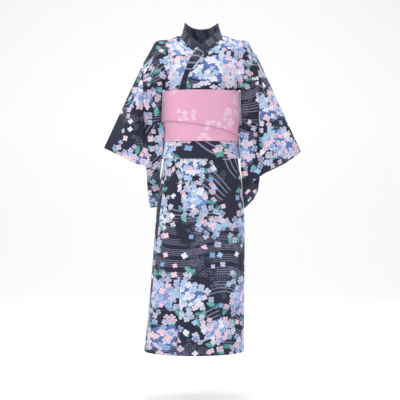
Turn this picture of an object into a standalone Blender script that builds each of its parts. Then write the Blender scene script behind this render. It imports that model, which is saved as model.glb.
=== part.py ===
"""Cotton summer robe with its sash, hollow, as it hangs when worn.

Metres, +Z up, the front faces -Y, the wearer's left is +X.
The origin lies at the base of the neck, where the wearer's shoulders carry the robe.
"""
import math

import bpy
import numpy as np

# Cloth and layers
CLOTH = 0.0015
COLLAR_CLOTH = 0.0024
SASH_CLOTH = 0.0020
SEAM = 0.0003
OVER_SKIRT = 0.0030
TUCK_IN = 0.0065
BODY_OUT = 0.0115
SASH_LOWER = 0.0149
SASH_UPPER = 0.0174
SASH_END = 0.0203
SASH_KNOT = 0.0235
UNDER_SHIFT = 0.0075
COLLAR_GAP = 0.0010
COLLAR_LIFT = 0.0008
ARMHOLE_GAP = 0.0015
SIDE_GAP = 0.0130
BOTTOM_FOLD = 0.0040

# Heights of the worn robe
WAIST_Z = -0.200
ARMHOLE_Z = -0.330
TUCK_Z = -0.459
TUCK_DEPTH = 0.0035
TUCK_TOP_Z = -0.405
HEM_Z = -1.190

# Rings of the hollow inside the robe
RINGS = ("z", "right_x", "left_x", "front_y", "back_y")
RING_ROWS = np.array([
    (-0.150, -0.127, 0.127, 0.099, 0.088),
    (-0.200, -0.128, 0.128, 0.098, 0.088),
    (-0.300, -0.131, 0.131, 0.099, 0.090),
    (-0.395, -0.133, 0.131, 0.101, 0.095),
    (-0.460, -0.140, 0.136, 0.105, 0.103),
    (-0.560, -0.156, 0.151, 0.112, 0.116),
    (-0.657, -0.168, 0.160, 0.118, 0.124),
    (-0.830, -0.182, 0.162, 0.122, 0.126),
    (-1.000, -0.196, 0.160, 0.124, 0.126),
    (-1.130, -0.210, 0.160, 0.126, 0.127),
    (-1.190, -0.217, 0.161, 0.127, 0.128),
])

# Line along which a panel turns over the neck seam and the shoulder
SHOULDER = ("x", "y", "z")
SHOULDER_ROWS = np.array([
    (0.0000, 0.0745, -0.013),
    (0.0300, 0.0710, -0.011),
    (0.0560, 0.0550, -0.005),
    (0.0750, 0.0290, 0.003),
    (0.0790, 0.0160, 0.005),
    (0.1230, 0.0060, -0.009),
    (0.1780, 0.0030, -0.020),
    (0.1880, 0.0020, -0.039),
    (0.2080, 0.0000, -0.068),
    (0.2190, 0.0000, -0.095),
])
NECK_X = 0.0790
NECK_Z = 0.0050

# Spread of the upper panels over the body
BACK_SEAM_X = 0.070
BACK_TOP_X = (SEAM / 2, 0.030, 0.056, 0.075)
SIDE_X = 0.150
CHEST_DEPTH = 0.108
BACK_DEPTH = 0.097
CHEST_WIDTH = 0.240
WAIST_HALF = 0.138
FLAP_DEPTH = 0.027
SLOT_X = 0.1520
SLOT_DROP = 0.018
COLLAR_STAND_Y = 0.004
SLEEVE_HOLLOW = 0.010
HOLLOW_REACH = 0.36

# Collar over the chest, drawn for the left side that lies on top
COLLAR = ("seam_z", "seam_x", "free_x", "free_z")
COLLAR_ROWS = np.array([
    (0.0050, 0.0790, 0.0570, 0.0225),
    (-0.0228, 0.0676, 0.0400, 0.0036),
    (-0.0456, 0.0426, 0.0150, -0.0200),
    (-0.0650, 0.0239, -0.0027, -0.0372),
    (-0.0920, 0.0042, -0.0300, -0.0640),
    (-0.1174, -0.0090, -0.0430, -0.0960),
    (-0.1326, -0.0225, -0.0520, -0.1180),
    (-0.1664, -0.0422, -0.0700, -0.1530),
    (-0.2000, -0.0575, -0.0810, -0.1930),
])

# Collar round the neck, from the centre of the back to the side
NECK = ("seam_x", "seam_y", "seam_z", "free_x", "free_y", "free_z")
NECK_ROWS = np.array([
    (0.0000, 0.0745, -0.013, 0.0000, 0.0860, 0.040),
    (0.0300, 0.0710, -0.011, 0.0290, 0.0790, 0.043),
    (0.0560, 0.0550, -0.005, 0.0520, 0.0560, 0.052),
    (0.0750, 0.0290, 0.003, 0.0630, 0.0290, 0.055),
])

# Edges on the waist, in degrees from the wearer's left side towards the front
EDGES = ("z", "collar_seam", "collar_free", "panel_edge", "okumi_edge")
EDGE_ROWS = np.array([
    (-0.200, 114.0, 126.0, 114.0, 114.0),
    (-0.235, 118.0, 136.0, 118.0, 118.0),
    (-0.270, 124.0, 146.0, 120.0, 124.0),
    (-0.300, 135.0, 152.0, 120.0, 135.0),
    (-0.330, 148.0, 158.0, 120.0, 158.0),
    (-0.385, 168.0, 168.0, 120.0, 170.0),
    (-0.470, 174.0, 174.0, 120.0, 174.0),
])

# Sleeve edges by the distance from the top fold, in cloth
SLEEVE = ("reach", "inner_x", "inner_y", "inner_z", "outer_x", "outer_y", "outer_z")
ARMHOLE_REACH = 0.24
RIGHT_FRONT = np.array([
    (0.00, 0.219, 0.000, -0.095, 0.3705, 0.005, -0.422),
    (0.06, 0.220, -0.042, -0.145, 0.3200, -0.035, -0.445),
    (0.12, 0.220, -0.053, -0.205, 0.2750, -0.055, -0.467),
    (0.18, 0.220, -0.043, -0.265, 0.2410, -0.060, -0.483),
    (0.24, 0.219, -0.022, -0.330, 0.2200, -0.060, -0.486),
    (0.28, 0.187, -0.038, -0.339, 0.2080, -0.058, -0.488),
    (0.32, 0.150, -0.046, -0.334, 0.2070, -0.057, -0.489),
    (0.36, 0.146, -0.044, -0.420, 0.2070, -0.054, -0.491),
    (0.40, 0.151, -0.032, -0.480, 0.2070, -0.040, -0.500),
    (0.44, 0.163, 0.030, -0.560, 0.2070, 0.035, -0.570),
    (0.49, 0.158, 0.098, -0.648, 0.1990, 0.098, -0.652),
])
RIGHT_BACK = np.array([
    (0.00, 0.219, 0.000, -0.095, 0.3705, 0.005, -0.422),
    (0.06, 0.220, 0.036, -0.145, 0.3220, 0.045, -0.440),
    (0.12, 0.220, 0.058, -0.205, 0.2700, 0.080, -0.462),
    (0.18, 0.220, 0.055, -0.265, 0.2280, 0.100, -0.478),
    (0.24, 0.219, 0.032, -0.330, 0.2140, 0.112, -0.508),
    (0.28, 0.207, 0.054, -0.368, 0.2130, 0.115, -0.525),
    (0.33, 0.180, 0.088, -0.440, 0.2130, 0.118, -0.545),
    (0.40, 0.160, 0.114, -0.540, 0.2100, 0.120, -0.585),
    (0.49, 0.158, 0.098, -0.648, 0.1990, 0.098, -0.652),
])
LEFT_FRONT = np.array([
    (0.00, 0.208, 0.000, -0.068, 0.3780, 0.005, -0.437),
    (0.06, 0.213, -0.042, -0.125, 0.3250, -0.035, -0.474),
    (0.12, 0.216, -0.053, -0.190, 0.2750, -0.055, -0.500),
    (0.18, 0.217, -0.043, -0.260, 0.2400, -0.060, -0.516),
    (0.24, 0.216, -0.022, -0.330, 0.2220, -0.060, -0.528),
    (0.28, 0.187, -0.038, -0.339, 0.2050, -0.058, -0.540),
    (0.32, 0.150, -0.046, -0.334, 0.1950, -0.056, -0.548),
    (0.36, 0.146, -0.044, -0.450, 0.1900, -0.054, -0.553),
    (0.40, 0.152, -0.032, -0.555, 0.1950, -0.035, -0.562),
    (0.44, 0.165, 0.035, -0.615, 0.2100, 0.030, -0.588),
    (0.49, 0.160, 0.100, -0.662, 0.2000, 0.100, -0.622),
])
LEFT_BACK = np.array([
    (0.00, 0.208, 0.000, -0.068, 0.3780, 0.005, -0.437),
    (0.06, 0.213, 0.036, -0.125, 0.3300, 0.045, -0.462),
    (0.12, 0.216, 0.058, -0.190, 0.2850, 0.080, -0.488),
    (0.18, 0.217, 0.055, -0.260, 0.2450, 0.100, -0.512),
    (0.24, 0.216, 0.032, -0.330, 0.2280, 0.112, -0.532),
    (0.28, 0.205, 0.054, -0.368, 0.2260, 0.116, -0.550),
    (0.33, 0.180, 0.088, -0.440, 0.2240, 0.118, -0.566),
    (0.40, 0.161, 0.116, -0.560, 0.2200, 0.120, -0.590),
    (0.49, 0.160, 0.100, -0.662, 0.2000, 0.100, -0.622),
])

# Lower edge of the outer sash turn, which slants over the front
SASH_SLANT = ("degrees", "z")
SASH_SLANT_ROWS = np.array([
    (0.0, -0.374),
    (25.0, -0.377),
    (40.0, -0.367),
    (55.0, -0.354),
    (80.0, -0.342),
    (115.0, -0.328),
    (145.0, -0.322),
    (165.0, -0.326),
    (180.0, -0.338),
    (220.0, -0.352),
    (300.0, -0.362),
    (360.0, -0.374),
])
SASH_TOP_Z = -0.208
SASH_BOTTOM_Z = -0.398
LOWER_TURN_STEPS = (-0.270, -0.335, -0.370, SASH_BOTTOM_Z)

# Flat lengths of the knot behind: name, first and last angle and height, width and layer
BANDS = (
    ("obi_end_left", 284, -0.320, 318, -0.262, 0.080, SASH_END),
    ("obi_end_right", 256, -0.300, 226, -0.352, 0.080, SASH_END),
    ("obi_knot", 257, -0.245, 283, -0.350, 0.100, SASH_KNOT),
)
SASH_RADIUS = 0.11

# Steps of the grids
RING_STEP = 7.5
SHOULDER_STEPS = (0.0, 0.05, 0.12, 0.22, 0.36, 0.54, 0.76, 1.0)
WAIST_STEPS = (-0.235, -0.270, -0.300, -0.330)
LOWER_STEPS = (-0.385, -0.425)
SKIRT_STEPS = (-0.300, -0.345, -0.395, -0.440, -0.500, -0.580, -0.657, -0.760,
               -0.870, -0.980, -1.080, -1.190)
FRONT_COLUMNS = 9
BACK_COLUMNS = 4
FLAP_X = (0.160, 0.174, 0.190)
SLEEVE_COLUMNS = 8

NAVY = (0.024, 0.026, 0.062)
PINK = (0.770, 0.392, 0.590)


def curve(at, keys, values):
    """Smooth curve through a table's rows, with its slope held where the rows run flat."""
    keys = np.asarray(keys, dtype=float)
    values = np.asarray(values, dtype=float)
    if keys[0] > keys[-1]:
        keys, values = keys[::-1], values[::-1]
    slope = np.diff(values) / np.diff(keys)
    tangent = np.empty_like(values)
    tangent[1:-1] = np.where(slope[1:] * slope[:-1] > 0, (slope[1:] + slope[:-1]) / 2, 0)
    tangent[0], tangent[-1] = slope[0], slope[-1]
    limit = 3 * np.minimum(np.abs(np.append(slope, slope[-1])), np.abs(np.insert(slope, 0, slope[0])))
    tangent = np.clip(tangent, -limit, limit)
    at = np.clip(at, keys[0], keys[-1])
    row = np.clip(np.searchsorted(keys, at) - 1, 0, len(keys) - 2)
    gap = keys[row + 1] - keys[row]
    t = (at - keys[row]) / gap
    return (values[row] * (1 + 2 * t) * (1 - t) ** 2 + tangent[row] * gap * t * (1 - t) ** 2
            + values[row + 1] * t ** 2 * (3 - 2 * t) + tangent[row + 1] * gap * t ** 2 * (t - 1))


def column(rows, names, name):
    """One named column of a table."""
    return rows[:, names.index(name)]


def look_up(rows, names, key, name, at):
    """Smooth value of a named column of a table at a value of its key column."""
    return float(curve(at, column(rows, names, key), column(rows, names, name)))


def ease(value, low, high):
    """Soft step from 0 at low to 1 at high."""
    t = min(max((value - low) / (high - low), 0.0), 1.0)
    return t * t * (3 - 2 * t)


def ring(degrees, z, out):
    """Point round the waist or skirt, moved out from the hollow by a layer's distance."""
    right, left, front, back = (look_up(RING_ROWS, RINGS, "z", name, z) for name in RINGS[1:])
    middle, half = (left + right) / 2, (left - right) / 2
    depth = front if math.sin(math.radians(degrees)) > 0 else back
    cosine, sine = math.cos(math.radians(degrees)), math.sin(math.radians(degrees))
    normal = np.array([cosine / half, -sine / depth])
    normal /= np.linalg.norm(normal)
    return (middle + half * cosine + out * normal[0], -depth * sine + out * normal[1], z)


def shoulder(x):
    """Depth and height of the shoulder line at a distance from the centre."""
    return tuple(look_up(SHOULDER_ROWS, SHOULDER, "x", name, abs(x)) for name in ("y", "z"))


def chest_half(x, z, face):
    """Distance of the chest (face -1) or the back (face 1) at a place across and up."""
    x = abs(x)
    over = max(x, NECK_X) if face < 0 else x
    top_y, top_z = shoulder(over)
    fall = min(max((top_z - z) / (top_z - WAIST_Z), 0.0), 1.0)
    turn = (1 - (1 - fall) ** 2.4) ** 0.8
    half = look_up(RING_ROWS, RINGS, "z", "left_x", WAIST_Z) + BODY_OUT
    depth = look_up(RING_ROWS, RINGS, "z", "front_y" if face < 0 else "back_y", WAIST_Z) + BODY_OUT
    waist = max(depth * math.sqrt(max(1 - (x / half) ** 2, 0.0)), SIDE_GAP)
    waist = max(waist, FLAP_DEPTH * ease(x, half, SLOT_X))
    broad = CHEST_DEPTH if face < 0 else BACK_DEPTH
    broad *= max(1 - (x / CHEST_WIDTH) ** 2.5, 0.0) ** 0.6
    full = face * (broad + (waist - broad) * fall ** 3)
    return top_y + (full - top_y) * turn


def sheet(name, points, cells, material, thickness, group):
    """Closed wall of cloth round an open net of points."""
    names = {key: index for index, key in enumerate(points)}
    mesh = bpy.data.meshes.new(name)
    faces = [tuple(names[key] for key in cell) for cell in cells]
    mesh.from_pydata([points[key] for key in names], [], faces)
    mesh.update()
    panel = bpy.data.objects.new(name, mesh)
    group.objects.link(panel)
    mesh.materials.append(material)
    mesh.shade_smooth()
    wall = panel.modifiers.new("Cloth", "SOLIDIFY")
    wall.thickness = thickness
    wall.offset = 0.0
    return panel


def net(name, rows, material, thickness, group, closed=False):
    """Cloth through rows of points, the rows open or closed round a tube."""
    count = len(rows[0])
    points = {(r, c): rows[r][c] for r in range(len(rows)) for c in range(count)}
    across = range(count) if closed else range(count - 1)
    cells = [((r, c), (r + 1, c), (r + 1, (c + 1) % count), (r, (c + 1) % count))
             for r in range(len(rows) - 1) for c in across]
    return sheet(name, points, cells, material, thickness, group)


def spread(start, stop):
    """Angles from start to stop, in even steps."""
    steps = max(2, round(abs(stop - start) / RING_STEP))
    return np.linspace(start, stop, steps + 1)


def edge_at(name, z):
    """Angle of a named edge on the waist at a height."""
    return look_up(EDGE_ROWS, EDGES, "z", name, z)


def seam_angle(z):
    """Angle that half the gap of a seam takes on the ring."""
    return math.degrees(SEAM / look_up(RING_ROWS, RINGS, "z", "back_y", z))


def tucked(point_at):
    """Rows down the waist tuck, round its fold and up its inner leg."""
    rows = [point_at(z, BODY_OUT) for z in LOWER_STEPS + (TUCK_Z,)]
    rows.append(point_at(TUCK_Z - TUCK_DEPTH, (BODY_OUT + TUCK_IN) / 2))
    rows += [point_at(z, TUCK_IN) for z in (TUCK_Z, -0.435, TUCK_TOP_Z)]
    return rows


def sleeve_table(side, face):
    """Edges of the sleeve's front or back layer."""
    tables = {(1, -1): LEFT_FRONT, (1, 1): LEFT_BACK, (-1, -1): RIGHT_FRONT, (-1, 1): RIGHT_BACK}
    return tables[side, face]


def armhole_point(side, face, step):
    """Point of the armhole seam at a step down from the shoulder."""
    rows = sleeve_table(side, face)
    reach = column(rows, SLEEVE, "reach")
    at = ARMHOLE_REACH * step
    x, y, z = (float(curve(at, reach, column(rows, SLEEVE, name)))
               for name in ("inner_x", "inner_y", "inner_z"))
    return np.array([side * x, y, z])


def armhole_steps():
    """Steps of the armhole seam, one for each row of the body panel down to its foot."""
    upper = [0.52 * step for step in SHOULDER_STEPS]
    return upper + [0.52 + 0.48 * (k + 1) / len(WAIST_STEPS) for k in range(len(WAIST_STEPS))]


def body_point(side, face, row, place):
    """Point of an upper body panel; place counts columns from the collar or the centre."""
    last = len(SHOULDER_STEPS) - 1
    flap = place - FRONT_COLUMNS
    if flap > len(FLAP_X):
        x, y, z = armhole_point(side, face, armhole_steps()[row])
        return (x - side * ARMHOLE_GAP, y, z)
    if flap > 0:
        return flap_point(side, face, row, flap)
    if row <= last:
        return chest_point(side, face, SHOULDER_STEPS[row], place)
    return waist_point(side, face, WAIST_STEPS[row - last - 1], place)


def flap_point(side, face, row, flap):
    """Point of the cloth beside the sash, between the slot and the armhole seam."""
    last = len(SHOULDER_STEPS) - 1
    fall = SHOULDER_STEPS[min(row, last)]
    pulled = (SLOT_X - FLAP_X[0]) * (len(FLAP_X) - flap) / (len(FLAP_X) - 1)
    x = FLAP_X[flap - 1] + pulled * fall ** 2
    seam = armhole_point(side, face, armhole_steps()[row])
    if row <= last:
        top_z = shoulder(x)[1]
        z = top_z + (WAIST_Z - top_z) * fall
        share = (max(x - FLAP_X[0], 0.0) / (abs(seam[0]) - FLAP_X[0])) ** 2
        z += (seam[2] - z) * share * 0.5
        y = chest_half(x, z, face)
        return (side * x, y + (seam[1] - y) * share * ease(fall, 0.0, 0.4), z)
    drop = (row - last) / len(WAIST_STEPS)
    y = face * FLAP_DEPTH
    share = (x - SLOT_X) / (abs(seam[0]) - SLOT_X)
    z = WAIST_Z + (ARMHOLE_Z - WAIST_Z) * drop
    z += (seam[2] - z) * share - SLOT_DROP * drop * (1 - share)
    return (side * x, y + (seam[1] - y) * share, z)


def chest_point(side, face, fall, place):
    """Point of an upper panel between the shoulder line and the sash."""
    half = look_up(RING_ROWS, RINGS, "z", "left_x", WAIST_Z) + BODY_OUT
    if place < 0:
        top_x = BACK_TOP_X[place + BACK_COLUMNS]
        low_x = SEAM / 2 + (BACK_SEAM_X - SEAM / 2) * (place + BACK_COLUMNS) / BACK_COLUMNS
        x = top_x + (low_x - top_x) * fall
    else:
        share = place / FRONT_COLUMNS
        if face < 0:
            edge_z = NECK_Z + (WAIST_Z - NECK_Z) * fall
            edge = look_up(COLLAR_ROWS, COLLAR, "seam_z", "seam_x", edge_z)
            start = edge_at("panel_edge", WAIST_Z)
        else:
            edge = NECK_X + (BACK_SEAM_X - NECK_X) * fall
            start = math.degrees(math.acos(BACK_SEAM_X / half))
        low_x = half * math.cos(math.radians(start * (1 - share)))
        side_x = SIDE_X + (half - SIDE_X) * fall
        x = edge + (side_x - edge) * share
        x += (low_x - x) * fall ** 2
    top_z = shoulder(max(x, NECK_X) if face < 0 else x)[1]
    if face < 0:
        top_z = NECK_Z + (top_z - NECK_Z) * min(place / FRONT_COLUMNS * 3, 1.0)
    z = top_z + (WAIST_Z - top_z) * fall
    y = chest_half(x, z, face)
    if side < 0 and face < 0:
        y += under_shift(x)
    return (side * x, y, z)


def under_shift(x):
    """How far the lower front lies behind the upper one, at a distance to its own side."""
    return UNDER_SHIFT * (1 - ease(x, 0.090, 0.118))


def waist_point(side, face, z, place):
    """Point of an upper panel under the sash."""
    share = place / FRONT_COLUMNS
    end = seam_angle(z) * (4 - 3 * ease(-z, -WAIST_STEPS[0], -WAIST_STEPS[2]))
    out = BODY_OUT
    if face < 0:
        degrees = edge_at("panel_edge", z) * (1 - share) + end * share
        if side < 0:
            lap = edge_at("collar_free", z)
            out = TUCK_IN + (BODY_OUT - TUCK_IN) * ease(180 - degrees, lap + 3, min(lap + 18, 178))
    else:
        middle = 90 - seam_angle(z)
        low = math.degrees(math.acos(BACK_SEAM_X / WAIST_HALF))
        if place < 0:
            degrees = -(middle + (low - middle) * (place + BACK_COLUMNS) / BACK_COLUMNS)
        else:
            degrees = -(low * (1 - share) + end * share)
    return ring(180 - degrees if side < 0 else degrees, z, out)


def tuck_rows(side, face):
    """Rows of a body panel through the tuck below the sash."""
    first = -BACK_COLUMNS if face > 0 else 0
    places = range(first, FRONT_COLUMNS + 1)

    def place_at(z, out):
        turned = []
        for place in places:
            x, y, _ = waist_point(side, face, z, place)
            grown = 1 + (out - BODY_OUT) / math.hypot(x, y)
            turned.append((x * grown, y * grown, z))
        return turned

    return tucked(place_at)


def build_body(side, name, material, group):
    """Upper body panel, one cloth from the front waist over the shoulder to the back."""
    points, cells = {}, []
    upper = len(SHOULDER_STEPS) + len(WAIST_STEPS)
    last = len(SHOULDER_STEPS) - 1
    width = FRONT_COLUMNS + len(FLAP_X) + 1
    for face in (-1, 1):
        first = -BACK_COLUMNS if face > 0 else 0
        tuck = tuck_rows(side, face) if (face > 0 or side > 0) else []
        for row in range(upper):
            for place in range(first, width + 1):
                key = (face * row, place)
                points[key] = body_point(side, face, row, place)
        for extra, turned in enumerate(tuck):
            for offset, point in enumerate(turned):
                points[(face * (upper + extra), first + offset)] = point
        for row in range(upper + len(tuck) - 1):
            for place in range(first, width):
                below_slot = row >= last and place == FRONT_COLUMNS
                below_flap = row >= upper - 1 and place >= FRONT_COLUMNS
                if below_slot or below_flap:
                    continue
                cells.append(((face * row, place), (face * (row + 1), place),
                              (face * (row + 1), place + 1), (face * row, place + 1)))
    oriented = [cell if (cell[1][0] > 0) == (side > 0) else cell[::-1] for cell in cells]
    used = {key for cell in oriented for key in cell}
    points = {key: points[key] for key in points if key in used}
    return sheet(name, points, oriented, material, CLOTH, group)


def build_skirt(name, start, stop, out, material, group):
    """Skirt panel between two edges, each a function of height, on one layer."""
    rows = []
    steps = len(spread(start(HEM_Z), stop(HEM_Z)))
    for z in SKIRT_STEPS:
        angles = np.linspace(start(z), stop(z), steps)
        rows.append([ring(a, z, out(a, z)) for a in angles])
    return net(name, rows, material, CLOTH, group)


def over_edge(z):
    """Free edge of the upper front, near the wearer's right side."""
    return 152 + 12 * ease(-z, 0.40, 1.15)


def okumi_seam(z):
    """Seam between the upper front and its overlap panel."""
    return 118 - 8 * ease(-z, 0.40, 1.15)


def over_out(degrees, z):
    """Layer of the upper front, which meets the back at the side seam."""
    return OVER_SKIRT * ease(degrees, 0, 15)


def under_out(degrees, z):
    """Layer of the lower front and the back, which lies on the hollow itself."""
    return 0.0


def build_okumi_top(material, group):
    """Overlap panel of the upper front, from its point under the sash to the tuck."""
    steps = 7

    def row_at(z, out):
        start = edge_at("panel_edge", z) + seam_angle(z) * 2
        stop = max(edge_at("okumi_edge", z) - seam_angle(z) * 2, start + 1.5)
        return [ring(a, z, out) for a in np.linspace(start, stop, steps)]

    rows = [row_at(z, BODY_OUT) for z in WAIST_STEPS[1:]] + tucked(row_at)
    return net("okumi_left", rows, material, CLOTH, group)


def collar_pairs(side):
    """Seam and free edge of the collar from the centre of the back to the front's end."""
    pairs = []
    for seam_x, seam_y, seam_z, free_x, free_y, free_z in NECK_ROWS:
        pairs.append(((side * seam_x, seam_y, seam_z), (side * free_x, free_y, free_z)))
    for fall in SHOULDER_STEPS:
        seam = chest_point(side, -1, fall, 0)
        z = seam[2]
        free_x = look_up(COLLAR_ROWS, COLLAR, "seam_z", "free_x", z)
        free_z = look_up(COLLAR_ROWS, COLLAR, "seam_z", "free_z", z)
        stand = 1 - ease(fall, 0.0, 0.3)
        free_y = chest_half(free_x, free_z, -1) * (1 - stand) + COLLAR_STAND_Y * stand
        if side < 0:
            free_y += under_shift(free_x)
        pairs.append((seam, (side * free_x, free_y, free_z)))
    for z in WAIST_STEPS[:-1]:
        out = BODY_OUT if side > 0 else TUCK_IN
        edges = [edge_at("collar_seam", z) + seam_angle(z) * 2, edge_at("collar_free", z)]
        turned = [degrees if side > 0 else 180 - degrees for degrees in edges]
        pairs.append(tuple(ring(degrees, z, out) for degrees in turned))
    return pairs


def build_collar(material, group):
    """Doubled strip from one front, round the neck, to the other front."""
    right = collar_pairs(-1)[:0:-1]
    left = collar_pairs(1)
    rows = []
    for seam, free in right + left:
        seam, free = np.array(seam), np.array(free)
        along = (free - seam) / np.linalg.norm(free - seam)
        seam = seam + along * (COLLAR_GAP + COLLAR_LIFT * ease(seam[2], -0.060, -0.020))
        rows.append([tuple(seam + (free - seam) * share) for share in (0.0, 0.5, 1.0)])
    return net("collar", rows, material, COLLAR_CLOTH, group)


def sleeve_rows(side, face):
    """Rows across the sleeve's layer from the top fold to the bottom fold."""
    table = sleeve_table(side, face)
    reach = column(table, SLEEVE, "reach")
    steps = [ARMHOLE_REACH * step for step in armhole_steps()]
    steps += list(reach[reach > ARMHOLE_REACH + 0.01])
    rows = []
    for at in steps:
        inner, outer = ([float(curve(at, reach, column(table, SLEEVE, edge + axis)))
                         for axis in ("_x", "_y", "_z")] for edge in ("inner", "outer"))
        inner, outer = np.array(inner), np.array(outer)
        row = []
        for k in range(SLEEVE_COLUMNS + 1):
            share = k / SLEEVE_COLUMNS
            point = inner + (outer - inner) * share
            hollow = math.sin(math.pi * share) * math.sin(math.pi * min(at / HOLLOW_REACH, 1.0))
            point[1] += face * SLEEVE_HOLLOW * hollow
            row.append((side * point[0], point[1], point[2]))
        rows.append(row)
    return rows


def build_sleeve(side, name, material, group):
    """Sleeve folded along its top and bottom, open at the cuff and along the inner edge."""
    front, back = sleeve_rows(side, -1), sleeve_rows(side, 1)
    for rows, face in ((front, -1), (back, 1)):
        rows[-1] = [(x, y + face * BOTTOM_FOLD, z) for x, y, z in rows[-1]]
    loop = front + back[:0:-1]
    rows = [[row[k] for row in loop] for k in range(SLEEVE_COLUMNS + 1)]
    if side < 0:
        rows = rows[::-1]
    return net(name, rows, material, CLOTH, group, closed=True)


def build_sash(material, group):
    """Two turns of the sash and the flat knot behind."""
    angles = np.arange(0, 360, RING_STEP)
    lower = [[ring(a, z, SASH_LOWER) for a in angles] for z in LOWER_TURN_STEPS]
    net("obi_lower_turn", lower, material, SASH_CLOTH, group, closed=True)
    upper = []
    for share in (0.0, 0.15, 0.5, 0.85, 1.0):
        row = []
        for a in angles:
            low = look_up(SASH_SLANT_ROWS, SASH_SLANT, "degrees", "z", a)
            row.append(ring(a, SASH_TOP_Z + (low - SASH_TOP_Z) * share, SASH_UPPER))
        upper.append(row)
    net("obi_upper_turn", upper, material, SASH_CLOTH, group, closed=True)
    for name, start_degrees, start_z, stop_degrees, stop_z, width, out in BANDS:
        build_band(name, (start_degrees, start_z), (stop_degrees, stop_z), width, out, material, group)


def build_band(name, start, stop, width, out, material, group):
    """Flat length of sash on the back between two places, each an angle and a height."""
    rows = []
    metre = 1 / (SASH_RADIUS * math.radians(1))
    along = np.array([(stop[0] - start[0]) / metre, stop[1] - start[1]])
    across = np.array([-along[1], along[0]]) / np.linalg.norm(along)
    for share in np.linspace(0, 1, 7):
        row = []
        for side in np.linspace(-0.5, 0.5, 6):
            degrees = start[0] + (stop[0] - start[0]) * share + across[0] * width * side * metre
            z = start[1] + (stop[1] - start[1]) * share + across[1] * width * side
            row.append(ring(degrees, z, out))
        rows.append(row)
    return net(name, rows, material, SASH_CLOTH, group)


def cloth_material(name, colour, roughness):
    """Plain woven cloth of one colour."""
    material = bpy.data.materials.new(name)
    material.use_nodes = True
    shader = material.node_tree.nodes["Principled BSDF"]
    shader.inputs["Base Color"].default_value = (*colour, 1.0)
    shader.inputs["Roughness"].default_value = roughness
    shader.inputs["Metallic"].default_value = 0.0
    material.diffuse_color = (*colour, 1.0)
    return material


def main():
    for item in list(bpy.data.objects):
        bpy.data.objects.remove(item, do_unlink=True)
    group = bpy.data.collections.new("cotton_robe")
    bpy.context.scene.collection.children.link(group)
    cotton = cloth_material("cotton", NAVY, 0.85)
    sash = cloth_material("sash", PINK, 0.6)
    build_body(1, "body_left", cotton, group)
    build_body(-1, "body_right", cotton, group)
    build_okumi_top(cotton, group)
    build_collar(cotton, group)
    build_sleeve(1, "sleeve_left", cotton, group)
    build_sleeve(-1, "sleeve_right", cotton, group)
    gap = seam_angle(HEM_Z)
    build_skirt("skirt_front_left", lambda z: gap, lambda z: okumi_seam(z) - gap, over_out, cotton, group)
    build_skirt("skirt_okumi_left", lambda z: okumi_seam(z) + gap, over_edge, over_out, cotton, group)
    build_skirt("skirt_front_right", lambda z: 180 - gap, lambda z: 180 - okumi_seam(z) + gap,
                under_out, cotton, group)
    build_skirt("skirt_okumi_right", lambda z: 180 - okumi_seam(z) - gap, lambda z: 180 - over_edge(z),
                under_out, cotton, group)
    build_skirt("skirt_back_left", lambda z: 270 + gap, lambda z: 360 - gap, under_out, cotton, group)
    build_skirt("skirt_back_right", lambda z: 180 + gap, lambda z: 270 - gap, under_out, cotton, group)
    build_sash(sash, group)


main()
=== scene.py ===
"""Finished cloth, print and studio for the worn cotton robe with its pink sash."""
import math

import bpy
import numpy as np
from bpy.props import FloatProperty, FloatVectorProperty, PointerProperty
from bpy.types import Operator, Panel, PropertyGroup
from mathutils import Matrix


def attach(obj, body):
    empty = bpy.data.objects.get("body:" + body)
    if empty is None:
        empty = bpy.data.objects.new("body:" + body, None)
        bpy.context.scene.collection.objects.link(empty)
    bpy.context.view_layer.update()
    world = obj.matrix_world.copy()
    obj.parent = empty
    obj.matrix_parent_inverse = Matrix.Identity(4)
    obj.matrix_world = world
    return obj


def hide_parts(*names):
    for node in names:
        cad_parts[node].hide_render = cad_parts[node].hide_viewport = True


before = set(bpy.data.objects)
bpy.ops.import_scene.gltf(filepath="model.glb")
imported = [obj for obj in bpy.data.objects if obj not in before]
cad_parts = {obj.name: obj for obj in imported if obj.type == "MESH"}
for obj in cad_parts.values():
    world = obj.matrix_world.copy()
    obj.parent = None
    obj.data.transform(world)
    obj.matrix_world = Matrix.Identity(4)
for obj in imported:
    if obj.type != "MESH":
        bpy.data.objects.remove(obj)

bl_info = {
    "name": "Cotton Robe Finish",
    "version": (1, 0, 0),
    "blender": (4, 5, 0),
    "location": "3D View > Sidebar > Robe",
    "description": "Fine cloth surfaces, flower print, woven sash and studio for a worn cotton robe",
    "category": "Object",
}

# Cloth and layers, as in the solids
CLOTH = 0.0015
COLLAR_CLOTH = 0.0024
SASH_CLOTH = 0.0020
SEAM = 0.0003
OVER_SKIRT = 0.0030
TUCK_IN = 0.0065
BODY_OUT = 0.0115
SASH_LOWER = 0.0149
SASH_UPPER = 0.0174
SASH_END = 0.0203
SASH_KNOT = 0.0235
UNDER_SHIFT = 0.0075
COLLAR_GAP = 0.0010
COLLAR_LIFT = 0.0008
ARMHOLE_GAP = 0.0015
SIDE_GAP = 0.0130
BOTTOM_FOLD = 0.0040

# Heights of the worn robe
WAIST_Z = -0.200
ARMHOLE_Z = -0.330
TUCK_Z = -0.459
TUCK_DEPTH = 0.0035
TUCK_TOP_Z = -0.405
HEM_Z = -1.190
NECK_X = 0.0790
NECK_Z = 0.0050

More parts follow.
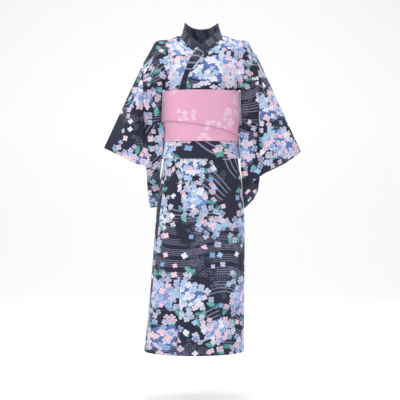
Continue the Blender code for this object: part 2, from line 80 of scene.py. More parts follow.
# Rings of the hollow inside the robe
RINGS = ("z", "right_x", "left_x", "front_y", "back_y")
RING_ROWS = np.array([
    (-0.150, -0.127, 0.127, 0.099, 0.088),
    (-0.200, -0.128, 0.128, 0.098, 0.088),
    (-0.300, -0.131, 0.131, 0.099, 0.090),
    (-0.395, -0.133, 0.131, 0.101, 0.095),
    (-0.460, -0.140, 0.136, 0.105, 0.103),
    (-0.560, -0.156, 0.151, 0.112, 0.116),
    (-0.657, -0.168, 0.160, 0.118, 0.124),
    (-0.830, -0.182, 0.162, 0.122, 0.126),
    (-1.000, -0.196, 0.160, 0.124, 0.126),
    (-1.130, -0.210, 0.160, 0.126, 0.127),
    (-1.190, -0.217, 0.161, 0.127, 0.128),
])

# Line along which a panel turns over the neck seam and the shoulder
SHOULDER = ("x", "y", "z")
SHOULDER_ROWS = np.array([
    (0.0000, 0.0745, -0.013),
    (0.0300, 0.0710, -0.011),
    (0.0560, 0.0550, -0.005),
    (0.0750, 0.0290, 0.003),
    (0.0790, 0.0160, 0.005),
    (0.1230, 0.0060, -0.009),
    (0.1780, 0.0030, -0.020),
    (0.1880, 0.0020, -0.039),
    (0.2080, 0.0000, -0.068),
    (0.2190, 0.0000, -0.095),
])

# Collar over the chest, drawn for the left side that lies on top
COLLAR = ("seam_z", "seam_x", "free_x", "free_z")
COLLAR_ROWS = np.array([
    (0.0050, 0.0790, 0.0570, 0.0225),
    (-0.0228, 0.0676, 0.0400, 0.0036),
    (-0.0456, 0.0426, 0.0150, -0.0200),
    (-0.0650, 0.0239, -0.0027, -0.0372),
    (-0.0920, 0.0042, -0.0300, -0.0640),
    (-0.1174, -0.0090, -0.0430, -0.0960),
    (-0.1326, -0.0225, -0.0520, -0.1180),
    (-0.1664, -0.0422, -0.0700, -0.1530),
    (-0.2000, -0.0575, -0.0810, -0.1930),
])

# Collar round the neck: seam x, y, z, then free edge x, y, z
NECK_ROWS = np.array([
    (0.0000, 0.0745, -0.013, 0.0000, 0.0860, 0.040),
    (0.0300, 0.0710, -0.011, 0.0290, 0.0790, 0.043),
    (0.0560, 0.0550, -0.005, 0.0520, 0.0560, 0.052),
    (0.0750, 0.0290, 0.003, 0.0630, 0.0290, 0.055),
])

# Edges on the waist, in degrees from the wearer's left side towards the front
EDGES = ("z", "collar_seam", "collar_free", "panel_edge", "okumi_edge")
EDGE_ROWS = np.array([
    (-0.200, 114.0, 126.0, 114.0, 114.0),
    (-0.235, 118.0, 136.0, 118.0, 118.0),
    (-0.270, 124.0, 146.0, 120.0, 124.0),
    (-0.300, 135.0, 152.0, 120.0, 135.0),
    (-0.330, 148.0, 158.0, 120.0, 158.0),
    (-0.385, 168.0, 168.0, 120.0, 170.0),
    (-0.470, 174.0, 174.0, 120.0, 174.0),
])

# Sleeve edges by the distance from the top fold, in cloth
SLEEVE = ("reach", "inner_x", "inner_y", "inner_z", "outer_x", "outer_y", "outer_z")
ARMHOLE_REACH = 0.24
SLEEVE_TABLES = {
    "right_front": np.array([
        (0.00, 0.219, 0.000, -0.095, 0.3705, 0.005, -0.422),
        (0.06, 0.220, -0.042, -0.145, 0.3200, -0.035, -0.445),
        (0.12, 0.220, -0.053, -0.205, 0.2750, -0.055, -0.467),
        (0.18, 0.220, -0.043, -0.265, 0.2410, -0.060, -0.483),
        (0.24, 0.219, -0.022, -0.330, 0.2200, -0.060, -0.486),
        (0.28, 0.187, -0.038, -0.339, 0.2080, -0.058, -0.488),
        (0.32, 0.150, -0.046, -0.334, 0.2070, -0.057, -0.489),
        (0.36, 0.146, -0.044, -0.420, 0.2070, -0.054, -0.491),
        (0.40, 0.151, -0.032, -0.480, 0.2070, -0.040, -0.500),
        (0.44, 0.163, 0.030, -0.560, 0.2070, 0.035, -0.570),
        (0.49, 0.158, 0.098, -0.648, 0.1990, 0.098, -0.652),
    ]),
    "right_back": np.array([
        (0.00, 0.219, 0.000, -0.095, 0.3705, 0.005, -0.422),
        (0.06, 0.220, 0.036, -0.145, 0.3220, 0.045, -0.440),
        (0.12, 0.220, 0.058, -0.205, 0.2700, 0.080, -0.462),
        (0.18, 0.220, 0.055, -0.265, 0.2280, 0.100, -0.478),
        (0.24, 0.219, 0.032, -0.330, 0.2140, 0.112, -0.508),
        (0.28, 0.207, 0.054, -0.368, 0.2130, 0.115, -0.525),
        (0.33, 0.180, 0.088, -0.440, 0.2130, 0.118, -0.545),
        (0.40, 0.160, 0.114, -0.540, 0.2100, 0.120, -0.585),
        (0.49, 0.158, 0.098, -0.648, 0.1990, 0.098, -0.652),
    ]),
    "left_front": np.array([
        (0.00, 0.208, 0.000, -0.068, 0.3780, 0.005, -0.437),
        (0.06, 0.213, -0.042, -0.125, 0.3250, -0.035, -0.474),
        (0.12, 0.216, -0.053, -0.190, 0.2750, -0.055, -0.500),
        (0.18, 0.217, -0.043, -0.260, 0.2400, -0.060, -0.516),
        (0.24, 0.216, -0.022, -0.330, 0.2220, -0.060, -0.528),
        (0.28, 0.187, -0.038, -0.339, 0.2050, -0.058, -0.540),
        (0.32, 0.150, -0.046, -0.334, 0.1950, -0.056, -0.548),
        (0.36, 0.146, -0.044, -0.450, 0.1900, -0.054, -0.553),
        (0.40, 0.152, -0.032, -0.555, 0.1950, -0.035, -0.562),
        (0.44, 0.165, 0.035, -0.615, 0.2100, 0.030, -0.588),
        (0.49, 0.160, 0.100, -0.662, 0.2000, 0.100, -0.622),
    ]),
    "left_back": np.array([
        (0.00, 0.208, 0.000, -0.068, 0.3780, 0.005, -0.437),
        (0.06, 0.213, 0.036, -0.125, 0.3300, 0.045, -0.462),
        (0.12, 0.216, 0.058, -0.190, 0.2850, 0.080, -0.488),
        (0.18, 0.217, 0.055, -0.260, 0.2450, 0.100, -0.512),
        (0.24, 0.216, 0.032, -0.330, 0.2280, 0.112, -0.532),
        (0.28, 0.205, 0.054, -0.368, 0.2260, 0.116, -0.550),
        (0.33, 0.180, 0.088, -0.440, 0.2240, 0.118, -0.566),
        (0.40, 0.161, 0.116, -0.560, 0.2200, 0.120, -0.590),
        (0.49, 0.160, 0.100, -0.662, 0.2000, 0.100, -0.622),
    ]),
}

# Lower edge of the outer sash turn, in degrees and height
SASH_SLANT_ROWS = np.array([
    (0.0, -0.374),
    (25.0, -0.377),
    (40.0, -0.367),
    (55.0, -0.354),
    (80.0, -0.342),
    (115.0, -0.328),
    (145.0, -0.322),
    (165.0, -0.326),
    (180.0, -0.338),
    (220.0, -0.352),
    (300.0, -0.362),
    (360.0, -0.374),
])
SASH_TOP_Z = -0.208
SASH_BOTTOM_Z = -0.398

# Spread of the upper panels over the body
BACK_SEAM_X = 0.070
BACK_TOP_X = (SEAM / 2, 0.030, 0.056, 0.075)
SIDE_X = 0.150
CHEST_DEPTH = 0.108
BACK_DEPTH = 0.097
CHEST_WIDTH = 0.240
WAIST_HALF = 0.138
FLAP_DEPTH = 0.027
SLOT_GAP = 0.0035
SLOT_DROP = 0.018
BACK_BOW = 0.010
NECK_TUCK = 0.004
COLLAR_STAND_Y = 0.004
SLEEVE_HOLLOW = 0.010
HOLLOW_REACH = 0.36
LOWER_TURN_STEPS = (-0.270, -0.335, -0.370, SASH_BOTTOM_Z)
SASH_RADIUS = 0.11

# Steps of the nets that the fine surfaces run through
RING_STEP = 7.5
SHOULDER_STEPS = (0.0, 0.05, 0.12, 0.22, 0.36, 0.54, 0.76, 1.0)
WAIST_STEPS = (-0.235, -0.270, -0.300, -0.330)
LOWER_STEPS = (-0.385, -0.425)
SKIRT_STEPS = (-0.300, -0.345, -0.395, -0.440, -0.500, -0.580, -0.657, -0.760,
               -0.870, -0.980, -1.080, -1.190)
FRONT_COLUMNS = 9
BACK_COLUMNS = 4
FLAP_X = (0.160, 0.174, 0.190)
SLEEVE_COLUMNS = 8
FINE_STEP = 0.0050

# Print: spacing and size of each scatter, in metres
LEAF_SPACING = 0.038
LEAF_LENGTH = 0.017
LEAF_RING = (-0.034, -0.026)
LEAF_INNER = (0.014, 0.006)
LEAF_CHANCE = 0.40
LOOSE_SPACING = 0.036
LOOSE_SIZE = 0.0115
LOOSE_SEED = 5.0
LOOSE_CLEAR = -0.008
TINY_SPACING = 0.016
TINY_SIZE = 0.0080
TINY_SEED = 8.0
TINY_CLEAR = -0.012
TINY_PATCH = 0.56
FISH_CHANCE = 0.45
STREAM_TILT = 0.22
STREAM_HALF = 0.30
STREAM_LINE = (0.165, 0.085)
STREAM_INK = 0.72
WASH_WAVE = 0.060
WASH_EDGE = (0.020, 0.026)
SPRAY_FLORET = (0.0205, 0.0115)
SPRAY_SEED = 2.0

# Each crease row is a_start, b_start, a_end, b_end, half width and depth; a trough is below 0

# Skirt creases on degrees round the ring and height
SKIRT_CREASES = np.array([
    (66, -0.450, 74, -0.690, 0.016, -0.0016),
    (96, -0.455, 92, -0.620, 0.012, -0.0012),
    (124, -0.450, 133, -0.900, 0.020, -0.0020),
    (138, -0.480, 150, -1.180, 0.024, 0.0022),
    (108, -0.560, 116, -1.050, 0.030, 0.0018),
    (40, -0.470, 34, -0.860, 0.022, -0.0018),
    (22, -0.520, 18, -1.180, 0.026, 0.0020),
    (84, -0.800, 80, -1.190, 0.030, -0.0016),
    (56, -0.700, 50, -1.190, 0.028, 0.0018),
    (162, -0.470, 170, -1.190, 0.020, -0.0022),
    (186, -0.470, 190, -1.190, 0.026, 0.0024),
    (204, -0.460, 210, -0.900, 0.020, -0.0022),
    (226, -0.500, 232, -1.190, 0.030, 0.0024),
    (248, -0.460, 250, -0.820, 0.018, -0.0018),
    (262, -0.600, 258, -1.190, 0.028, -0.0020),
    (284, -0.470, 290, -0.980, 0.024, 0.0022),
    (304, -0.460, 300, -0.760, 0.016, -0.0018),
    (318, -0.560, 322, -1.190, 0.030, 0.0022),
    (340, -0.480, 346, -1.100, 0.022, -0.0020),
])

# Tuck creases on the same map, short and upright below the sash
TUCK_CREASES = np.array([
    (150, -0.398, 146, -0.440, 0.006, -0.0012),
    (128, -0.398, 131, -0.455, 0.009, -0.0016),
    (104, -0.398, 102, -0.436, 0.007, -0.0010),
    (76, -0.398, 80, -0.450, 0.010, -0.0014),
    (52, -0.398, 49, -0.432, 0.007, -0.0012),
    (28, -0.398, 31, -0.452, 0.008, -0.0016),
    (330, -0.398, 326, -0.448, 0.009, -0.0016),
    (300, -0.398, 303, -0.438, 0.007, -0.0012),
    (262, -0.398, 258, -0.452, 0.010, -0.0016),
    (232, -0.398, 236, -0.440, 0.007, -0.0012),
    (204, -0.398, 200, -0.450, 0.009, -0.0014),
])

# Chest creases on distance across and height, for the front
CHEST_CREASES = np.array([
    (0.082, -0.010, 0.046, -0.150, 0.010, 0.0022),
    (0.110, -0.016, 0.092, -0.198, 0.014, -0.0026),
    (0.140, -0.060, 0.128, -0.198, 0.010, -0.0034),
    (0.176, -0.040, 0.160, -0.180, 0.012, 0.0028),
    (0.196, -0.070, 0.180, -0.300, 0.012, -0.0030),
    (0.060, -0.120, 0.066, -0.200, 0.008, -0.0016),
    (-0.085, -0.012, -0.060, -0.140, 0.012, 0.0022),
    (-0.108, -0.020, -0.100, -0.198, 0.014, -0.0024),
    (-0.136, -0.050, -0.132, -0.198, 0.011, -0.0034),
    (-0.174, -0.050, -0.164, -0.190, 0.013, 0.0030),
    (-0.198, -0.100, -0.182, -0.310, 0.012, -0.0030),
])

# Back creases on the same map
BACK_CREASES = np.array([
    (0.040, -0.020, 0.050, -0.190, 0.018, 0.0022),
    (0.090, -0.020, 0.078, -0.195, 0.014, -0.0026),
    (0.150, -0.050, 0.124, -0.198, 0.012, -0.0034),
    (0.186, -0.060, 0.172, -0.290, 0.014, 0.0026),
    (-0.046, -0.030, -0.040, -0.180, 0.018, 0.0018),
    (-0.092, -0.020, -0.086, -0.190, 0.013, -0.0026),
    (-0.146, -0.060, -0.128, -0.198, 0.012, -0.0032),
    (-0.190, -0.070, -0.170, -0.300, 0.014, 0.0026),
])

# Sleeve creases on distance from the armhole and signed distance from the top fold
SLEEVE_CREASES = np.array([
    (0.020, -0.020, 0.150, -0.110, 0.016, -0.0034),
    (0.010, -0.080, 0.210, -0.150, 0.020, 0.0040),
    (0.030, -0.130, 0.260, -0.190, 0.018, -0.0040),
    (0.120, -0.040, 0.340, -0.100, 0.024, 0.0036),
    (0.080, -0.210, 0.330, -0.240, 0.020, 0.0034),
    (0.020, 0.040, 0.160, 0.130, 0.018, -0.0036),
    (0.020, 0.110, 0.240, 0.180, 0.020, 0.0040),
    (0.120, 0.060, 0.340, 0.120, 0.024, -0.0034),
    (0.060, 0.220, 0.300, 0.250, 0.022, 0.0032),
])

# Sash creases on degrees and height, mostly lengthwise
SASH_CREASES = np.array([
    (62, -0.232, 128, -0.226, 0.005, 0.0009),
    (96, -0.262, 168, -0.250, 0.006, -0.0008),
    (18, -0.290, 88, -0.280, 0.007, 0.0010),
    (110, -0.305, 176, -0.296, 0.006, 0.0010),
    (30, -0.336, 74, -0.322, 0.006, -0.0009),
    (4, -0.244, 50, -0.252, 0.006, -0.0008),
    (190, -0.240, 246, -0.252, 0.006, 0.0010),
    (200, -0.300, 250, -0.292, 0.007, -0.0009),
    (296, -0.246, 350, -0.236, 0.006, -0.0009),
    (300, -0.310, 344, -0.322, 0.007, 0.0010),
])
METRES_A_DEGREE = 0.0024
SASH_CURL = 0.0055
SASH_CURL_WIDTH = 0.014
SLEEVE_WIDTH = 0.36
FOLD_SIDE = 0.03
CLOTH_MAP = "Cloth"

# Place of each piece on the printed cloth, in metres
PRINT_PLACES = {node: np.array(place) for node, place in {
    "body_left": (0.21, 1.90), "body_right": (0.505, 0.31), "okumi_left": (0.50, 0.05),
    "collar": (4.11, 0.33), "sleeve_left": (6.57, 2.61), "sleeve_right": (5.19, 1.59),
    "skirt_front_left": (0.66, 0.39), "skirt_okumi_left": (0.956, 0.39),
    "skirt_front_right": (0.72, 0.30), "skirt_okumi_right": (1.05, 0.30),
    "skirt_back_left": (12.93, 2.37), "skirt_back_right": (14.49, 1.77),
    "obi_lower_turn": (0.20, 1.10), "obi_upper_turn": (0.00, 0.40), "obi_end_left": (0.70, 0.30),
    "obi_end_right": (0.50, 0.90), "obi_knot": (0.90, 0.60),
}.items()}


def srgb(red, green, blue):
    """Linear colour of an 8-bit one."""
    value = np.array([red, green, blue]) / 255
    linear = np.where(value <= 0.04045, value / 12.92, ((value + 0.055) / 1.055) ** 2.4)
    return (*(float(part) for part in linear), 1.0)


# Dyes, as seen in the photo's even light
INK = {name: srgb(*value) for name, value in {
    "ground": (24, 28, 49), "ground_light": (33, 37, 61), "stream": (150, 150, 180),
    "leaf": (92, 168, 162), "leaf_dark": (44, 116, 122), "leaf_vein": (150, 205, 200),
    "blue": (172, 196, 230), "deep_blue": (132, 164, 212), "lilac": (196, 192, 222),
    "pink": (238, 198, 210), "white": (230, 228, 240), "petal_edge": (104, 116, 165),
    "petal_line": (96, 104, 152), "fish": (160, 200, 226), "fish_mark": (104, 146, 190),
    "wash_blue": (112, 146, 200), "wash_deep": (84, 112, 168), "wash_lilac": (136, 140, 192),
    "sash": (226, 166, 196), "sash_dark": (221, 160, 190), "sash_motif": (232, 203, 217),
}.items()}
WASHES = ("wash_blue", "wash_deep", "wash_lilac", "wash_blue", "wash_deep")
PETALS = ("blue", "white", "pink", "lilac", "deep_blue", "pink", "blue", "white")
FLORET_LAYERS = ((1.0, 0.0275, 0.0120), (2.0, 0.0290, 0.0125), (3.0, 0.0310, 0.0130))
HEAD_SPACING = 0.160
HEAD_RADIUS = 0.064
HEAD_FRINGE = 0.068
COLLAR_HEADS = 0.0
STREAM_SPACING = 0.0110
STREAM_BUNDLE = 0.066
STREAM_SWAY = 0.27
SPRAY_SPACING = 0.120
SPRAY_RADIUS = 0.042
FISH_SPACING = 0.24
FISH_LENGTH = 0.042
THREAD = 0.0012
SASH_THREAD = 0.0016
WEAVE_DEPTH = 0.00015

# Camera and room, from the photo's scale of 3.8 mm a pixel
METRES_A_PIXEL = 0.0038
FRAME_PIXELS = 400
AXIS_PIXEL = 201.5
ORIGIN_PIXEL = 37.0
CAMERA_AWAY = 4.0
CAMERA_Z = -0.50
SENSOR = 0.036
FLOOR_Z = -1.372
BACKDROP_Y = 3.2
PAPER_GLOW = 0.12
BACKDROP_BEND = 1.2
WORLD_LIGHT = 0.50
LIGHT_AIM = (0.0, 0.0, -0.6)
LIGHTS = (
    ("Key", (-2.0, -2.8, 1.4), 1.8, 58.0),
    ("Fill", (2.6, -2.4, 0.2), 2.6, 18.0),
    ("Top", (0.0, 0.4, 2.6), 1.8, 34.0),
    ("Paper left", (-2.6, 0.8, 1.4), 2.0, 30.0),
    ("Paper right", (2.6, 0.8, 1.4), 2.0, 30.0),
)


def curve(at, keys, values):
    """Smooth curve through a table's rows.

    With t running from 0 to 1 between two rows, it is the cubic that meets both rows' values
    and slopes; a slope is the mean of its neighbours, or 0 at a high or low point.
    """
    keys = np.asarray(keys, dtype=float)
    values = np.asarray(values, dtype=float)
    if keys[0] > keys[-1]:
        keys, values = keys[::-1], values[::-1]
    slope = np.diff(values) / np.diff(keys)
    tangent = np.empty_like(values)
    tangent[1:-1] = np.where(slope[1:] * slope[:-1] > 0, (slope[1:] + slope[:-1]) / 2, 0)
    tangent[0], tangent[-1] = slope[0], slope[-1]
    limit = 3 * np.minimum(np.abs(np.append(slope, slope[-1])), np.abs(np.insert(slope, 0, slope[0])))
    tangent = np.clip(tangent, -limit, limit)
    at = np.clip(at, keys[0], keys[-1])
    row = np.clip(np.searchsorted(keys, at) - 1, 0, len(keys) - 2)
    gap = keys[row + 1] - keys[row]
    t = (at - keys[row]) / gap
    return (values[row] * (1 + 2 * t) * (1 - t) ** 2 + tangent[row] * gap * t * (1 - t) ** 2
            + values[row + 1] * t ** 2 * (3 - 2 * t) + tangent[row + 1] * gap * t ** 2 * (t - 1))


def column(rows, names, name):
    """One named column of a table."""
    return rows[:, names.index(name)]


def look_up(rows, names, key, name, at):
    """Smooth value of a named column of a table at a value of its key column."""
    return float(curve(at, column(rows, names, key), column(rows, names, name)))


def ease(value, low, high):
    """Soft step from 0 at low to 1 at high."""
    t = min(max((value - low) / (high - low), 0.0), 1.0)
    return t * t * (3 - 2 * t)


def ring(degrees, z, out):
    """Point round the waist or skirt, moved out from the hollow by a layer's distance."""
    right, left, front, back = (look_up(RING_ROWS, RINGS, "z", name, z) for name in RINGS[1:])
    middle, half = (left + right) / 2, (left - right) / 2
    depth = front if math.sin(math.radians(degrees)) > 0 else back
    cosine, sine = math.cos(math.radians(degrees)), math.sin(math.radians(degrees))
    normal = np.array([cosine / half, -sine / depth])
    normal /= np.linalg.norm(normal)
    return (middle + half * cosine + out * normal[0], -depth * sine + out * normal[1], z)


def shoulder(x):
    """Depth and height of the shoulder line at a distance from the centre."""
    return tuple(look_up(SHOULDER_ROWS, SHOULDER, "x", name, abs(x)) for name in ("y", "z"))


def chest_half(x, z, face):
    """Distance of the chest (face -1) or the back (face 1) at a place across and up."""
    x = abs(x)
    over = max(x, NECK_X) if face < 0 else x
    top_y, top_z = shoulder(over)
    fall = min(max((top_z - z) / (top_z - WAIST_Z), 0.0), 1.0)
    turn = (1 - (1 - fall) ** 2.4) ** 0.8
    half = look_up(RING_ROWS, RINGS, "z", "left_x", WAIST_Z) + BODY_OUT
    depth = look_up(RING_ROWS, RINGS, "z", "front_y" if face < 0 else "back_y", WAIST_Z) + BODY_OUT
    waist = max(depth * math.sqrt(max(1 - (x / half) ** 2, 0.0)), SIDE_GAP)
    waist = max(waist, FLAP_DEPTH * ease(x, half, slot_x(WAIST_Z)))
    broad = CHEST_DEPTH if face < 0 else BACK_DEPTH
    broad *= max(1 - (x / CHEST_WIDTH) ** 2.5, 0.0) ** 0.6
    full = face * (broad + (waist - broad) * fall ** 3)
    return top_y + (full - top_y) * turn


def edge_at(name, z):
    """Angle of a named edge on the waist at a height."""
    return look_up(EDGE_ROWS, EDGES, "z", name, z)


def seam_angle(z):
    """Angle that half the gap of a seam takes on the ring."""
    return math.degrees(SEAM / look_up(RING_ROWS, RINGS, "z", "back_y", z))


def sleeve_table(side, face):
    """Edges of the sleeve's front or back layer."""
    return SLEEVE_TABLES[("left_" if side > 0 else "right_") + ("front" if face < 0 else "back")]


def armhole_point(side, face, step):
    """Point of the armhole seam at a step down from the shoulder."""
    rows = sleeve_table(side, face)
    reach = column(rows, SLEEVE, "reach")
    x, y, z = (float(curve(ARMHOLE_REACH * step, reach, column(rows, SLEEVE, name)))
               for name in ("inner_x", "inner_y", "inner_z"))
    return np.array([side * x, y, z])


def armhole_steps():
    """Steps of the armhole seam, one for each row of the body panel down to its foot."""
    upper = [0.52 * step for step in SHOULDER_STEPS]
    return upper + [0.52 + 0.48 * (k + 1) / len(WAIST_STEPS) for k in range(len(WAIST_STEPS))]


def under_shift(x):
    """How far the lower front lies behind the upper one, at a distance to its own side."""
    return UNDER_SHIFT * (1 - ease(x, 0.090, 0.118))


def chest_point(side, face, fall, place):
    """Point of an upper panel between the shoulder line and the sash."""
    half = look_up(RING_ROWS, RINGS, "z", "left_x", WAIST_Z) + BODY_OUT
    if place < 0:
        top_x = BACK_TOP_X[place + BACK_COLUMNS]
        low_x = SEAM / 2 + (BACK_SEAM_X - SEAM / 2) * (place + BACK_COLUMNS) / BACK_COLUMNS
        x = top_x + (low_x - top_x) * fall
    else:
        share = place / FRONT_COLUMNS
        if face < 0:
            edge_z = NECK_Z + (WAIST_Z - NECK_Z) * fall
            edge = look_up(COLLAR_ROWS, COLLAR, "seam_z", "seam_x", edge_z)
            start = edge_at("panel_edge", WAIST_Z)
        else:
            edge = NECK_X + (BACK_SEAM_X - NECK_X) * fall
            start = math.degrees(math.acos(BACK_SEAM_X / half))
        low_x = half * math.cos(math.radians(start * (1 - share)))
        side_x = SIDE_X + (half - SIDE_X) * fall
        x = edge + (side_x - edge) * share
        x += (low_x - x) * fall ** 2
    top_z = shoulder(max(x, NECK_X) if face < 0 else x)[1]
    if face < 0:
        top_z = NECK_Z + (top_z - NECK_Z) * min(place / FRONT_COLUMNS * 3, 1.0)
    z = top_z + (WAIST_Z - top_z) * fall
    y = chest_half(x, z, face)
    if side < 0 and face < 0:
        y += under_shift(x)
    return (side * x, y, z)


def slot_x(z):
    """Edge of the cloth beside the sash, just clear of the sash's outer turn."""
    return look_up(RING_ROWS, RINGS, "z", "left_x", z) + SASH_UPPER + SLOT_GAP


def flap_point(side, face, row, flap):
    """Point of the cloth beside the sash, between the slot and the armhole seam."""
    last = len(SHOULDER_STEPS) - 1
    fall = SHOULDER_STEPS[min(row, last)]
    drop = max(row - last, 0) / len(WAIST_STEPS)
    level = WAIST_Z + (ARMHOLE_Z - WAIST_Z) * drop
    slot = slot_x(level)
    pulled = (slot - FLAP_X[0]) * (len(FLAP_X) - flap) / (len(FLAP_X) - 1)
    x = FLAP_X[flap - 1] + pulled * fall ** 2
    seam = armhole_point(side, face, armhole_steps()[row])
    if row <= last:
        top_z = shoulder(x)[1]
        z = top_z + (WAIST_Z - top_z) * fall
        share = (max(x - FLAP_X[0], 0.0) / (abs(seam[0]) - FLAP_X[0])) ** 2
        z += (seam[2] - z) * share * 0.5
        y = chest_half(x, z, face)
        return (side * x, y + (seam[1] - y) * share * ease(fall, 0.0, 0.4), z)
    y = face * FLAP_DEPTH
    share = (x - slot) / (abs(seam[0]) - slot)
    z = level + (seam[2] - level) * share - SLOT_DROP * drop * (1 - share)
    if face > 0:
        z -= BACK_BOW * drop * 4 * share * (1 - share)
    return (side * x, y + (seam[1] - y) * share, z)


def waist_point(side, face, z, place):
    """Point of an upper panel under the sash."""
    share = place / FRONT_COLUMNS
    end = seam_angle(z) * (4 - 3 * ease(-z, -WAIST_STEPS[0], -WAIST_STEPS[2]))
    out = BODY_OUT
    if face < 0:
        degrees = edge_at("panel_edge", z) * (1 - share) + end * share
        if side < 0:
            lap = edge_at("collar_free", z)
            out = TUCK_IN + (BODY_OUT - TUCK_IN) * ease(180 - degrees, lap + 3, min(lap + 18, 178))
    else:
        middle = 90 - seam_angle(z)
        low = math.degrees(math.acos(BACK_SEAM_X / WAIST_HALF))
        if place < 0:
            degrees = -(middle + (low - middle) * (place + BACK_COLUMNS) / BACK_COLUMNS)
        else:
            degrees = -(low * (1 - share) + end * share)
    return ring(180 - degrees if side < 0 else degrees, z, out)


def body_point(side, face, row, place):
    """Point of an upper body panel; place counts columns from the collar or the centre."""
    last = len(SHOULDER_STEPS) - 1
    flap = place - FRONT_COLUMNS
    if flap > len(FLAP_X):
        x, y, z = armhole_point(side, face, armhole_steps()[row])
        return (x - side * ARMHOLE_GAP, y, z)
    if flap > 0:
        return flap_point(side, face, row, flap)
    if row <= last:
        return chest_point(side, face, SHOULDER_STEPS[row], place)
    return waist_point(side, face, WAIST_STEPS[row - last - 1], place)


def tuck_levels():
    """Heights and layers down the waist tuck, round its fold and up its inner leg."""
    levels = [(z, BODY_OUT) for z in LOWER_STEPS + (TUCK_Z,)]
    levels.append((TUCK_Z - TUCK_DEPTH, (BODY_OUT + TUCK_IN) / 2))
    return levels + [(z, TUCK_IN) for z in (TUCK_Z, -0.435, TUCK_TOP_Z)]


def tuck_point(side, face, z, out, place):
    """Point of a body panel in the tuck below the sash."""
    x, y, _ = waist_point(side, face, z, place)
    normal = np.array([x, y]) / math.hypot(x, y)
    return (x + normal[0] * (out - BODY_OUT), y + normal[1] * (out - BODY_OUT), z)


def spline(points, keys, at):
    """Smooth interpolation along the first axis of an array.

    Each stretch is the cubic through its two rows, with a row's slope weighted from the slopes
    on both sides by the other side's length.
    """
    gap = np.diff(keys)
    shape = (-1,) + (1,) * (points.ndim - 1)
    slope = np.diff(points, axis=0) / gap.reshape(shape)
    tangent = np.empty_like(points)
    before, after = gap[:-1].reshape(shape), gap[1:].reshape(shape)
    tangent[1:-1] = (slope[:-1] * after + slope[1:] * before) / (before + after)
    tangent[0], tangent[-1] = slope[0], slope[-1]
    row = np.clip(np.searchsorted(keys, at, side="right") - 1, 0, len(keys) - 2)
    h = gap[row].reshape(shape)
    t = ((at - keys[row]) / gap[row]).reshape(shape)
    return (points[row] * (1 + 2 * t) * (1 - t) ** 2 + tangent[row] * h * t * (1 - t) ** 2
            + points[row + 1] * t ** 2 * (3 - 2 * t) + tangent[row + 1] * h * t ** 2 * (t - 1))


def along_keys(points, axis):
    """Mean distance along one axis of a net of points, from its start."""
    steps = np.linalg.norm(np.diff(points, axis=axis), axis=2).mean(axis=1 - axis)
    return np.concatenate([[0.0], np.cumsum(np.maximum(steps, 1e-5))])


def fine_keys(keys, step):
    """Keys of a finer net that keeps every old line and fills each gap evenly."""
    parts = [np.linspace(a, b, max(1, math.ceil((b - a) / step)), endpoint=False)
             for a, b in zip(keys[:-1], keys[1:])]
    return np.concatenate(parts + [keys[-1:]])


def refine(points, step=FINE_STEP):
    """Fine net through a coarse one, with its distances across and along as flat coordinates."""
    down, across = along_keys(points, 0), along_keys(points, 1)
    fine_down, fine_across = fine_keys(down, step), fine_keys(across, step)
    fine = spline(points, down, fine_down)
    fine = spline(fine.swapaxes(0, 1), across, fine_across).swapaxes(0, 1)
    return fine, fine_down, fine_across


def crease_field(a, b, rows):
    """Sum of soft troughs and ridges on a map.

    Each is depth * exp(-(d / width) ** 2), with d the distance to a straight run between two
    places, fading over the last fifth at both ends.
    """
    total = np.zeros_like(a)
    for a0, b0, a1, b1, width, depth in rows:
        run = np.array([a1 - a0, b1 - b0])
        t = ((a - a0) * run[0] + (b - b0) * run[1]) / (run @ run)
        held = np.clip(t, 0, 1)
        d = np.hypot(a - a0 - held * run[0], b - b0 - held * run[1])
        fade = np.clip(np.minimum(t, 1 - t) * 5, 0, 1)
        total += depth * np.exp(-(d / width) ** 2) * (0.25 + 0.75 * fade * fade * (3 - 2 * fade))
    return total


def ring_creases(points, rows):
    """Creases on the ring's map of angle and height, at points round the robe."""
    degrees = np.degrees(np.arctan2(-points[..., 1], points[..., 0])) % 360
    scaled = rows * np.array([METRES_A_DEGREE, 1, METRES_A_DEGREE, 1, 1, 1])
    return crease_field(degrees * METRES_A_DEGREE, points[..., 2], scaled)


def skirt_creases(points):
    """Creases of everything that hangs below the sash, the same for each layer."""
    return ring_creases(points, SKIRT_CREASES) + ring_creases(points, TUCK_CREASES)


def chest_creases(points, back=False):
    """Creases above the sash, on the map of distance across and height."""
    return crease_field(points[..., 0], points[..., 2], BACK_CREASES if back else CHEST_CREASES)


